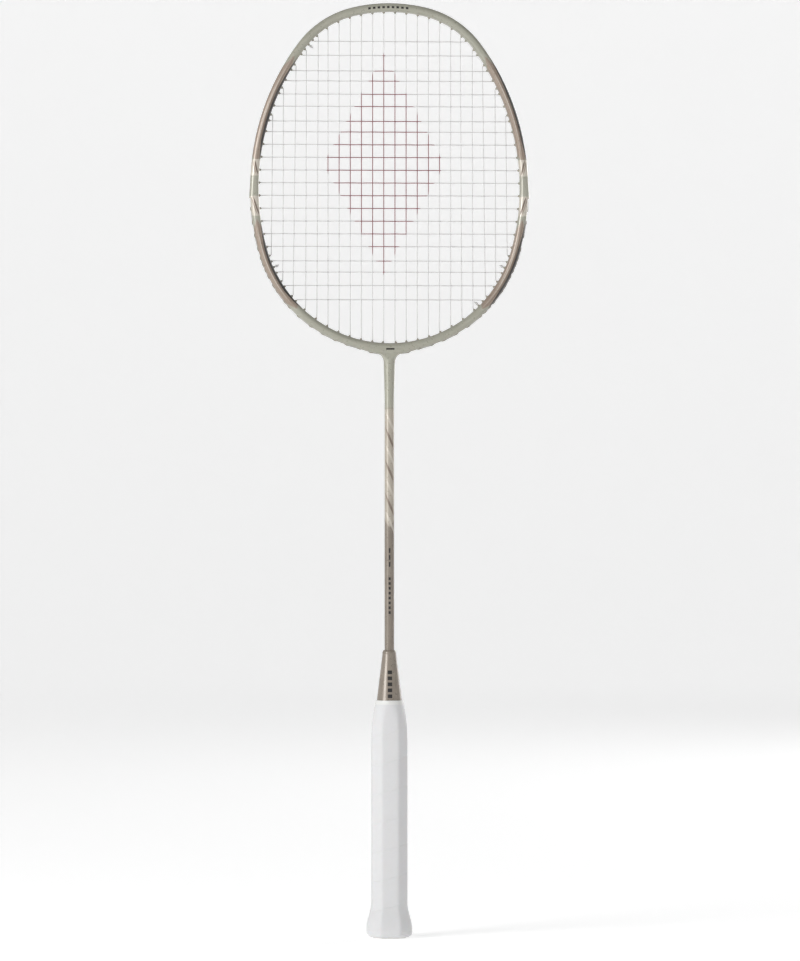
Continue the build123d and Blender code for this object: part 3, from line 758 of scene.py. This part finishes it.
def finish_group(w, out, geometry, material):
    """Ends a geometry tree: smooth faces, real geometry and its material."""
    smooth = w.add("GeometryNodeSetShadeSmooth", geometry).outputs[0]
    real = w.add("GeometryNodeRealizeInstances", smooth).outputs[0]
    painted = w.add("GeometryNodeSetMaterial", real)
    w.join(material, painted.inputs["Material"])
    w.join(painted.outputs[0], out.inputs[0])
    return w.tree


def tube_tree():
    """A round tube along every chain of edges, with rounded bends.

    Its points keep how far along the route and round the section they are."""
    w, g, out = geometry_group("Tube along route", [
        ("Radius", "NodeSocketFloat"), ("Sides", "NodeSocketInt"),
        ("Bend steps", "NodeSocketInt"), ("Material", "NodeSocketMaterial")])
    curve = w.add("GeometryNodeMeshToCurve", g["Geometry"]).outputs[0]
    bent = w.add("GeometryNodeFilletCurve", mode="POLY")
    w.join(curve, bent.inputs["Curve"])
    w.join(read_value(w, "bend_radius"), bent.inputs["Radius"])
    w.join(g["Bend steps"], bent.inputs["Count"])
    bent.inputs["Limit Radius"].default_value = True
    along = w.add("GeometryNodeSplineParameter").outputs["Length"]
    route = store_value(w, bent.outputs[0], "along", along)
    ring = w.add("GeometryNodeCurvePrimitiveCircle")
    w.join(g["Sides"], ring.inputs["Resolution"])
    w.join(g["Radius"], ring.inputs["Radius"])
    turn = w.add("GeometryNodeSplineParameter").outputs["Factor"]
    section = store_value(w, ring.outputs[0], "round", turn)
    tube = w.add("GeometryNodeCurveToMesh", route, section)
    tube.inputs["Fill Caps"].default_value = True
    return finish_group(w, out, tube.outputs[0], g["Material"])


def barrel_tree():
    """One copy of a shape at every point, turned to its axis and stretched to its reach."""
    w, g, out = geometry_group("Barrels at holes", [
        ("Shape", "NodeSocketObject"), ("Material", "NodeSocketMaterial")])
    shape = w.add("GeometryNodeObjectInfo", g["Shape"]).outputs["Geometry"]
    axis = read_value(w, "axis", "FLOAT_VECTOR")
    turned = w.add("FunctionNodeAlignRotationToVector", None, None, axis, axis="Z")
    points = w.add("GeometryNodeMeshToPoints", g["Geometry"]).outputs[0]
    placed = w.add("GeometryNodeInstanceOnPoints", points)
    w.join(shape, placed.inputs["Instance"])
    w.join(turned.outputs[0], placed.inputs["Rotation"])
    size = w.add("ShaderNodeCombineXYZ", 1.0, 1.0, read_value(w, "reach")).outputs[0]
    w.join(size, placed.inputs["Scale"])
    return finish_group(w, out, placed.outputs[0], g["Material"])


def smooth(piece, sharp_degrees=None):
    piece.data.shade_smooth()
    if sharp_degrees:
        piece.data.set_sharp_from_angle(angle=math.radians(sharp_degrees))


def loft(name, rings, closed=False):
    """A skin over rings of points that all have the same count, capped unless it is closed."""
    count, total = len(rings[0]), len(rings)
    faces = []
    for k in range(total if closed else total - 1):
        a, b = k * count, ((k + 1) % total) * count
        faces += [(a + i, a + (i + 1) % count, b + (i + 1) % count, b + i) for i in range(count)]
    if not closed:
        faces.append(tuple(reversed(range(count))))
        faces.append(tuple(range((total - 1) * count, total * count)))
    return new_piece(name, [p for ring in rings for p in ring], faces=faces)


def circle(radius, z, sides):
    turns = [math.tau * k / sides for k in range(sides)]
    return [(radius * math.cos(turn), radius * math.sin(turn), z) for turn in turns]


# ---- Finishes
def frame_finish(paint, stripe, dashes):
    """Pearl lacquer of the head, with plain striping above and below the plain bands."""
    finish = Finish("frame pearl lacquer")
    across, plain = tube_across(finish), tuple(paint.frame_colour)
    edges = band_edge(*BAND_EDGES[0]) + band_edge(*BAND_EDGES[1])
    # The dark edge goes inward on the left tube and outward on the right one, so on both it lies on
    # the right, away from the key light: painted shade along with the print.
    left, right = (striped(finish, stripe, plain, across,
                           stripe_set(*UPPER_STRIPES, dark) + stripe_set(*LOWER_STRIPES, dark)
                           + edges) for dark in (-1, 1))
    right_side = finish.math("GREATER_THAN", finish.x, 0.0)
    colour = pearl(finish, finish.blend(right_side, left, right))
    ink = tuple(paint.mark_colour)
    crown = finish.math("GREATER_THAN", finish.z, CROWN_FROM)
    colour = finish.grouped(dashes, colour, ink, finish.x, finish.only(crown, across),
                            *CROWN_DASHES)
    front = finish.math("LESS_THAN", finish.y, 0.0)
    throat = finish.only(front, finish.z, -THROAT_BAR_Z)
    colour = finish.grouped(dashes, colour, ink, finish.x, throat, *THROAT_BAR)
    return lacquer(finish, colour)


def shaft_finish(paint, stripe, dashes):
    """Metallic lacquer of the shaft, striped with the frame's colours towards its top."""
    finish = Finish("shaft metallic lacquer")
    front = finish.math("MULTIPLY", finish.y, -1.0)
    turn = finish.math("ARCTAN2", finish.x, front)
    across = finish.math("MULTIPLY", turn, SHAFT_RADIUS)
    fade = finish.ranged(finish.z, *FRAME_COLOUR_FADE)
    colour = finish.blend(fade, tuple(paint.shaft_colour), tuple(paint.frame_colour))
    colour = pearl(finish, striped(finish, stripe, colour, across, shaft_stripes()))
    for row in SHAFT_DASHES:
        colour = finish.grouped(dashes, colour, tuple(paint.mark_colour), finish.z, across, *row)
    return lacquer(finish, colour)


def cone_finish(paint, dashes):
    """Metallic lacquer of the cone, with a plain row of bars."""
    finish = Finish("cone metallic lacquer")
    grain = finish.ranged(finish.noise(0.5), 0.35, 0.65, 0.0, 0.12)
    worn = finish.blend(grain, tuple(paint.shaft_colour), tint(150, 140, 126))
    colour = pearl(finish, worn)
    off = finish.only(finish.math("LESS_THAN", finish.y, 0.0), finish.x)
    colour = finish.grouped(dashes, colour, tuple(paint.mark_colour), finish.z, off,
                            *CONE_BARS)
    return lacquer(finish, colour)


def string_finish(stringing):
    """Pale multifilament nylon with a plain inked diamond in the middle of the string bed."""
    finish = Finish("string nylon", roughness=0.4)
    fibre = finish.ranged(finish.noise(2.2, detail=1.0), 0.35, 0.65, 0.0, 0.25)
    colour = finish.blend(fibre, tuple(stringing.colour), tint(204, 203, 202))
    shares = []
    for place, centre, half in zip((finish.x, finish.z), DIAMOND_CENTRE, DIAMOND_HALF_SIZE):
        away = finish.math("ABSOLUTE", finish.math("SUBTRACT", place, centre))
        shares.append(finish.math("DIVIDE", away, half))
    reach = finish.math("ADD", *shares)
    ragged = finish.math("MULTIPLY_ADD", finish.noise(1.4), 0.03, reach)
    inked = finish.ranged(ragged, 1.0, 1.03, 1.0, 0.0)
    patchy = finish.math("MULTIPLY", inked, finish.ranged(finish.noise(3.0), 0.3, 0.6, 0.7, 1.0))
    finish.set(base_color=finish.blend(patchy, colour, tuple(stringing.ink_colour)))
    twist = finish.math("MULTIPLY_ADD", finish.stored("along"), 1 / (LAY_LENGTH * MM),
                        finish.stored("round"))
    lay = finish.math("SINE", finish.math("MULTIPLY", twist, math.tau * LAY_STRANDS))
    finish.set(normal=finish.bump(lay, 0.008, 0.3))
    return finish.material


def moulded_finish(name, colour, other, cloud, share, grain, **sockets):
    """Slightly cloudy moulded plastic, finely sparked: grain is its noise, depth and strength."""
    finish = Finish(name, **sockets)
    noise, depth, strength = grain
    finish.set(base_color=finish.clouded(cloud, share, tuple(colour), tint(*other)),
               normal=finish.bump(finish.noise(*noise), depth, strength))
    return finish.material


def grip_finish(colour):
    """White cushioned polyurethane with fine leather grain and pores."""
    finish = Finish("grip polyurethane", sheen_weight=0.15, sheen_roughness=0.5,
                    subsurface_weight=0.05, subsurface_scale=0.001)
    strip = finish.in_millimetres(finish.add("ShaderNodeUVMap", uv_map="strip").outputs[0])
    grain = finish.cells(1.1, strip)
    crease = finish.noise(0.25, 4.0, 0.6, strip)
    soil = finish.ranged(crease, 0.35, 0.75, 0.0, 0.10)
    pit = finish.ranged(finish.cells(0.55, strip), 0.05, 0.14, 1.0, 0.0)
    base = finish.blend(soil, tuple(colour), tint(190, 188, 182))
    # The pores are darkened where the bump sinks them: painted shade in the pores.
    pores_shaded = finish.blend(finish.math("MULTIPLY", pit, 0.25), base, tint(160, 158, 152))
    finish.set(base_color=pores_shaded, roughness=finish.ranged(crease, 0.3, 0.7, 0.5, 0.64))
    relief = finish.math("SUBTRACT", finish.math("MULTIPLY", grain, 0.35), pit)
    first = finish.bump(relief, 0.05, 0.5)
    finish.set(normal=finish.bump(crease, 0.25, 0.35, first))
    return finish.material


def tape_finish():
    """Thin white finishing tape, faintly ribbed round the handle."""
    finish = Finish("finishing tape", roughness=0.45)
    rib = finish.math("SINE", finish.math("MULTIPLY", finish.z, 9.0))
    finish.set(base_color=finish.clouded(0.3, 0.2, tint(214, 214, 212), tint(200, 200, 198)),
               normal=finish.bump(rib, 0.03, 0.4))
    return finish.material


def wood_finish():
    """Straight-grained light wood of the handle's core."""
    finish = Finish("core wood", roughness=0.6)
    rings = finish.noise(0.8, 4.0, 0.6, stretch=(1.0, 1.0, 0.04))
    colour = finish.blend(finish.ranged(rings, 0.35, 0.65), tint(206, 174, 128), tint(166, 128, 84))
    finish.set(base_color=colour, normal=finish.bump(rings, 0.05, 0.5))
    return finish.material


def label_finish():
    """Printed film with plain concentric rings."""
    finish = Finish("label film", roughness=0.25, coat_weight=0.5, coat_roughness=0.1)
    flat = finish.add("ShaderNodeCombineXYZ", finish.x, finish.y, 0.0).outputs[0]
    away = finish.vector("LENGTH", flat)["Value"]
    colour = finish.clouded(0.5, 0.2, tint(178, 176, 162), tint(196, 194, 180))
    for radius, half in ((6.9, 0.35), (3.4, 1.5)):
        off = finish.math("ABSOLUTE", finish.math("SUBTRACT", away, radius))
        inside = finish.ranged(off, half - 0.05, half + 0.05, 1.0, 0.0)
        colour = finish.blend(inside, colour, tint(84, 72, 66))
    finish.set(base_color=colour, normal=finish.bump(finish.noise(2.0), 0.01, 0.4))
    return finish.material


def steel_finish():
    """Bright drawn wire of the staples."""
    finish = Finish("staple steel", metallic=1.0)
    drawn = finish.noise(4.0, 2.0, 0.5, stretch=(0.1, 1.0, 1.0))
    finish.set(base_color=finish.blend(drawn, tint(190, 190, 188), tint(150, 150, 150)),
               roughness=finish.ranged(drawn, 0.3, 0.7, 0.22, 0.4),
               normal=finish.bump(drawn, 0.01, 0.5))
    return finish.material


def carbon_finish():
    """Moulded carbon weave of the joint inside the throat."""
    finish = Finish("joint carbon", roughness=0.35, coat_weight=0.3, coat_roughness=0.2)
    checks = finish.add("ShaderNodeTexChecker", finish.place, tint(36, 36, 38),
                        tint(62, 62, 64), 0.8)
    finish.set(base_color=checks.outputs["Color"],
               normal=finish.bump(checks.outputs["Fac"], 0.05, 0.3))
    return finish.material


# ---- Grip
def between(table, value):
    """Straight-line reading of a table of pairs, held at its two ends."""
    if value <= table[0][0]:
        return table[0][1]
    for (x0, y0), (x1, y1) in zip(table, table[1:]):
        if value <= x1:
            return y0 + (y1 - y0) * (value - x0) / (x1 - x0)
    return table[-1][1]


def turned_radius(z):
    """Radius of the grip's turned upper end: the parabola through its three given points."""
    (z0, r0), (z1, r1), (z2, r2) = GRIP_TURNING
    return (r0 * (z - z1) * (z - z2) / ((z0 - z1) * (z0 - z2))
            + r1 * (z - z0) * (z - z2) / ((z1 - z0) * (z1 - z2))
            + r2 * (z - z0) * (z - z1) / ((z2 - z0) * (z2 - z1)))


def grip_point(turn, z, height):
    """A point on the handle at that height above the core's surface."""
    offset = between(GRIP_FLARE, z) - GRIP_THICKNESS + height
    thin = between(GRIP_THINNING, z)
    offset = min(offset, height * thin) if z > GRIP_FLARE[-1][0] else offset
    side, diagonal, front = CORE_DISTANCES
    total = 0.0
    for k in range(8):
        apart = math.cos(turn - k * math.pi / 4)
        if apart > 0:
            facet = diagonal if k % 2 else (front if k % 4 == 2 else side)
            total += (apart / (facet + offset)) ** GRIP_CORNER_POWER
    if z > GRIP_TURNED_FROM:
        reach = turned_radius(z) - (GRIP_THICKNESS - height) * thin
        total += (1 / reach) ** GRIP_CORNER_POWER
    radius = total ** (-1 / GRIP_CORNER_POWER)
    return (radius * math.cos(turn), radius * math.sin(turn), z)


# Heights of the strip's two faces above the core, by the distance from one of its edges.
EDGE_TOP = ((0.0, 1.80), (0.2, 1.86), (0.5, 1.9))
EDGE_LAP = ((0.0, 0.30), (1.5, 0.75), (3.0, 1.30), (4.0, 1.72), (4.4, 1.9))
EDGE_UNDER = ((0.0, 1.74), (1.0, 1.32), (2.5, 0.77), (4.0, 0.32), (5.0, 0.0))
ACROSS = (0.0, 0.006, 0.016, 0.036, 0.1, 0.16, 0.2, 0.3, 0.45, 0.6, 0.72, 0.8, 0.824, 0.84, 0.88,
          0.94, 1.0)


def grip_mesh(width, pitch, start_angle):
    """The wound strip: a wedge-shaped start round the butt, then turns that lap by 4 mm."""
    low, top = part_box("grip_wrap")[0].z / MM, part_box("grip_wrap")[1].z / MM
    turns = 1 + (top - GRIP_TOP_GAP - low) / pitch
    steps = round(turns * STEPS_PER_TURN)
    rings, along = [], []
    for k in range(steps + 1):
        wound = turns * k / steps
        turn = start_angle + math.tau * wound
        z_low = low + pitch * max(0.0, wound - 1)
        z_full = low + pitch * (wound - 1) + width
        z_high = min(z_full, top)
        lapped = min(1.0, max(0.0, (wound - LAP_BEGINS) / (1 - LAP_BEGINS)))
        outer, inner = [], []
        for share in ACROSS:
            z = z_low + (z_high - z_low) * share
            face = min(between(EDGE_TOP, z - z_low), between(EDGE_LAP, z_full - z))
            under = between(EDGE_UNDER, z - z_low) * lapped
            outer.append(grip_point(turn, z, face))
            inner.append(grip_point(turn, z, min(under, face - THINNEST_STRIP)))
        rings.append(outer + inner[::-1])
        along.append((turn, z_low))
    piece = loft("grip_strip", rings)
    layer = piece.data.uv_layers.new(name="strip")
    count = len(rings[0])
    for loop in piece.data.loops:
        turn, z_low = along[loop.vertex_index // count]
        z = piece.data.vertices[loop.vertex_index].co.z / MM
        layer.data[loop.index].uv = (turn * MEAN_RADIUS * MM, (z - z_low) * MM)
    smooth(piece, 48)
    return piece, turns


# ---- Operators
FLOOR_RADIUS, FLOOR_CURVE, FLOOR_TOP = 5000.0, 3000.0, 4200.0
FLOOR_CURVE_STEPS, FLOOR_SIDES = 12, 96
LIT_MIDDLE = Vector((0.0, 0.0, 0.36))
CAMERA_TARGET = Vector((0.0077, 0.0, 0.3303))


class RACKET_OT_stage(bpy.types.Operator):
    """Make the pale floor, the soft lights and the camera"""

    bl_idname = "racket.stage"
    bl_label = "Stage"

    def execute(self, context):
        stage = context.scene.racket_stage
        profile = [(FLOOR_RADIUS, 0.0)]
        for step in range(1, FLOOR_CURVE_STEPS + 1):
            turn = math.radians(90 * step / FLOOR_CURVE_STEPS)
            profile.append((FLOOR_RADIUS + FLOOR_CURVE * math.sin(turn),
                            FLOOR_CURVE * (1 - math.cos(turn))))
        profile.append((FLOOR_RADIUS + FLOOR_CURVE, FLOOR_TOP))
        rings = [circle(radius, z, FLOOR_SIDES) for radius, z in profile]
        points = [(0.0, 0.0, 0.0)] + [p for ring in rings for p in ring]
        faces = [(0, 1 + k, 1 + (k + 1) % FLOOR_SIDES) for k in range(FLOOR_SIDES)]
        for i in range(len(rings) - 1):
            a, b = 1 + i * FLOOR_SIDES, 1 + (i + 1) * FLOOR_SIDES
            faces += [(a + k, b + k, b + (k + 1) % FLOOR_SIDES, a + (k + 1) % FLOOR_SIDES)
                      for k in range(FLOOR_SIDES)]
        floor = new_piece("studio_floor", points, faces=faces)
        smooth(floor)
        finish = Finish("studio floor", roughness=0.9, base_color=tuple(stage.floor_colour),
                        emission_color=tuple(stage.floor_colour), emission_strength=stage.glow)
        floor.data.materials.append(finish.material)

        world = bpy.data.worlds.new("studio")
        context.scene.world = world
        world.use_nodes = True
        sky = world.node_tree.nodes["Background"]
        sky.inputs["Color"].default_value = (1.0, 1.0, 1.0, 1.0)
        sky.inputs["Strength"].default_value = stage.ambient

        for name, place, size, power in (
                ("key", (-2.0, -1.6, 1.0), 1.3, stage.key_power),
                ("back", (2.2, 2.2, 1.0), 1.4, stage.back_power),
                ("top", (-0.2, -0.4, 2.4), 1.2, stage.top_power)):
            lamp = bpy.data.lights.new(name, "AREA")
            lamp.energy, lamp.shape, lamp.size = power, "DISK", size
            light = bpy.data.objects.new(name, lamp)
            context.scene.collection.objects.link(light)
            light.location = place
            towards = LIT_MIDDLE - Vector(place)
            light.rotation_euler = towards.to_track_quat("-Z", "Y").to_euler()

        camera = bpy.data.objects.new("camera", bpy.data.cameras.new("camera"))
        context.scene.collection.objects.link(camera)
        back = Vector((-math.sin(stage.view_angle), -math.cos(stage.view_angle), 0.0))
        camera.location = CAMERA_TARGET + back * stage.distance
        camera.rotation_euler = (-back).to_track_quat("-Z", "Y").to_euler()
        camera.data.lens = camera.data.sensor_width * stage.distance / stage.view_height
        camera.data.clip_start, camera.data.clip_end = 0.1, 50.0
        context.scene.camera = camera
        context.scene.view_settings.view_transform = "Standard"
        return {"FINISHED"}


class RACKET_OT_frame(bpy.types.Operator):
    """Paint the head frame, the shaft and the cone"""

    bl_idname = "racket.frame"
    bl_label = "Frame, shaft and cone"

    def execute(self, context):
        paint = context.scene.racket_paint
        stripe, dashes = stripe_group(), dash_group()
        repaint("head_frame", frame_finish(paint, stripe, dashes))
        repaint("shaft", shaft_finish(paint, stripe, dashes))
        repaint("cone_cap", cone_finish(paint, dashes))
        repaint("t_joint", carbon_finish())
        return {"FINISHED"}


class RACKET_OT_strings(bpy.types.Operator):
    """String the head with one main and one cross string, and tie their ends"""

    bl_idname = "racket.strings"
    bl_label = "Strings and knots"

    def execute(self, context):
        stringing = context.scene.racket_stringing
        tree, finish = tube_tree(), string_finish(stringing)
        radius = stringing.gauge / 2
        for name, routes, nodes in (
                ("mains", [main_route()], ["main_string"]),
                ("crosses", [cross_route()], ["cross_string"]),
                ("tie_off_knots", knot_routes(), ["main_knot_left", "main_knot_right",
                                                  "cross_knot_upper", "cross_knot_lower"])):
            piece = modified(chain(name, routes), tree, radius=radius, sides=stringing.sides,
                             bend_steps=stringing.bend_steps, material=finish)
            stand_in(piece, "string_nylon", *nodes)
        return {"FINISHED"}


def knot_routes():
    """A tight coil and a cut tail at each place where a string is tied off."""
    routes = []
    ties = (("main_tie", -1), ("main_tie", 1), ("cross_high_tie", -1), ("cross_low_tie", 1))
    for name, side in ties:
        hole = HOLES[name, side]
        inward = (hole.inner - hole.outer).normalized()
        front = Vector((0.0, -1.0, 0.0))
        across = inward.cross(front)
        points = [hole.inner.copy()]
        for k in range(KNOT_POINTS):
            turn = math.tau * k / KNOT_POINTS_PER_TURN
            reach = 0.1 + KNOT_LENGTH * k / (KNOT_POINTS - 1)
            points.append(hole.inner + inward * reach
                          + (front * math.cos(turn) + across * math.sin(turn)) * KNOT_RADIUS)
        tail = points[-1]
        points.append(tail + inward * 0.6 - across * 0.2)
        points.append(tail + inward * 1.2 - across * 0.3)
        routes.append(points)
    return routes


GROMMET_SIDES = 12
GROMMET_GROUPS = (("throat", 0, 35), ("lower", 35, 120), ("side", 120, 220),
                  ("shoulder", 220, 300), ("crown", 300, 400))
GROMMET_PROFILE = ((0.42, 0.0), (0.54, -0.04), (0.64, 0.04), (0.74, 0.3), (1.08, 1.1),
                   (1.2, 1.6), (1.2, 5.9), (1.6, 6.0), (1.6, 6.3), (1.45, GROMMET_LENGTH),
                   (0.6, GROMMET_LENGTH), (0.42, 6.0))


class RACKET_OT_grommets(bpy.types.Operator):
    """Line every string hole with a tapered grommet, joined by a strip in the groove"""

    bl_idname = "racket.grommets"
    bl_label = "Grommets"

    def execute(self, context):
        stringing = context.scene.racket_stringing
        finish = moulded_finish("grommet nylon", stringing.grommet_colour, (160, 156, 142), 0.8,
                                0.3, ((6.0,), 0.02, 0.4), roughness=0.42,
                                subsurface_weight=0.08, subsurface_scale=0.0005)
        shape = loft("grommet_shape", [circle(radius, z, GROMMET_SIDES)
                                       for radius, z in GROMMET_PROFILE], closed=True)
        tree = barrel_tree()
        for name, low, high in GROMMET_GROUPS:
            sides = ((0, ""),) if name in ("throat", "crown") else ((-1, "left_"), (1, "right_"))
            for side, word in sides:
                holes = [h for h in HOLES.values()
                         if low <= h.length < high and side in (0, h.side)]
                piece = new_piece(f"grommet_{word}{name}",
                                  [h.inner + self.axis(h) * GROMMET_TIP_GAP for h in holes])
                attribute(piece.data, "axis", "FLOAT_VECTOR", [self.axis(h) for h in holes])
                attribute(piece.data, "reach", "FLOAT", [self.reach(h) for h in holes])
                modified(piece, tree, shape=shape, material=finish)
                stand_in(piece, "grommet_nylon", f"grommets_{word}{name}")
        bpy.data.objects.remove(shape)
        for side, word in ((-1, "left"), (1, "right")):
            strip = self.strip(f"grommet_strip_{word}", side)
            strip.data.materials.append(finish)
            smooth(strip, 40)
            stand_in(strip, "grommet_nylon")
        return {"FINISHED"}

    @staticmethod
    def axis(hole):
        return (hole.outer - hole.inner).normalized()

    @staticmethod
    def reach(hole):
        """How long a hole's grommet is beside the shape that all of them are copied from."""
        length = (hole.outer - hole.inner).length - GROMMET_SEAT_GAP - GROMMET_TIP_GAP
        return length / GROMMET_LENGTH

    @staticmethod
    def strip(name, side):
        """The thin band on the groove's floor that joins one side's grommets.

        Below the plain band its two edges rise beside every hole, proud of the tube."""
        first, last = STRIP_START, length_at(180) - STRIP_END_GAP
        holes = [h.length for h in HOLES.values() if h.side == side]
        rings = []
        for k in range(STRIP_STEPS + 1):
            length = first + (last - first) * k / STRIP_STEPS
            near = min(abs(length - hole) for hole in holes)
            rise = STRIP_RISE
            if length < length_at(BAND_LOW) - BUMP_BAND_GAP:
                rise += BUMP_RISE * max(0.0, 1 - (near / BUMP_HALF_LENGTH) ** 2)
            floor = groove_floor(length)
            section = ((-1.6, -0.1), (1.6, -0.1), (1.6, rise - 0.1), (1.5, rise), (1.2, rise),
                       (0.9, 0.3), (-0.9, 0.3), (-1.2, rise), (-1.5, rise), (-1.6, rise - 0.1))
            ring = [head_point(heading_at(length), floor + up, side, y) for y, up in section]
            rings.append(ring if side < 0 else ring[::-1])
        return loft(name, rings)


class RACKET_OT_grip(bpy.types.Operator):
    """Wind the cushioned strip round the handle and finish its end with tape"""

    bl_idname = "racket.grip"
    bl_label = "Grip"

    def execute(self, context):
        grip = context.scene.racket_grip
        strip, turns = grip_mesh(grip.width / MM, grip.pitch / MM, grip.start_angle)
        strip.data.materials.append(grip_finish(grip.colour))
        stand_in(strip, "grip_polyurethane", "grip_wrap")
        repaint("grip_finishing_tape", tape_finish())
        return {"FINISHED"}


class RACKET_OT_butt(bpy.types.Operator):
    """Give the core, the butt cap, its label and its staples their finishes"""

    bl_idname = "racket.butt"
    bl_label = "Core and butt"

    def execute(self, context):
        repaint("handle_core", wood_finish())
        repaint("butt_cap", moulded_finish(
            "butt plastic", context.scene.racket_paint.cap_colour, (206, 206, 200), 0.2, 0.2,
            ((3.5, 3.0), 0.03, 0.5), roughness=0.4))
        repaint("butt_label", label_finish())
        repaint("butt_cap_staples", steel_finish())
        return {"FINISHED"}


class RACKET_PT_panel(bpy.types.Panel):
    """Buttons that build the racket piece by piece"""

    bl_idname = "RACKET_PT_panel"
    bl_label = "Strung racket"
    bl_space_type = "VIEW_3D"
    bl_region_type = "UI"
    bl_category = "Racket"

    def draw(self, context):
        for operator in OPERATORS:
            self.layout.operator(operator.bl_idname)
        for settings in SETTINGS:
            group = getattr(context.scene, settings)
            box = self.layout.box()
            for name in group.__annotations__:
                box.prop(group, name)


OPERATORS = (RACKET_OT_stage, RACKET_OT_frame, RACKET_OT_strings, RACKET_OT_grommets,
             RACKET_OT_grip, RACKET_OT_butt)
SETTINGS = {"racket_paint": RacketPaint, "racket_stringing": RacketStringing,
            "racket_grip": RacketGrip, "racket_stage": RacketStage}


def register():
    for kind in (*SETTINGS.values(), *OPERATORS, RACKET_PT_panel):
        bpy.utils.register_class(kind)
    for name, kind in SETTINGS.items():
        setattr(bpy.types.Scene, name, bpy.props.PointerProperty(type=kind))


def unregister():
    for name in SETTINGS:
        delattr(bpy.types.Scene, name)
    for kind in reversed((*SETTINGS.values(), *OPERATORS, RACKET_PT_panel)):
        bpy.utils.unregister_class(kind)


def main():
    register()
    for operator in OPERATORS:
        category, name = operator.bl_idname.split(".")
        getattr(getattr(bpy.ops, category), name)()
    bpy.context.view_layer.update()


if __name__ == "__main__":
    main()
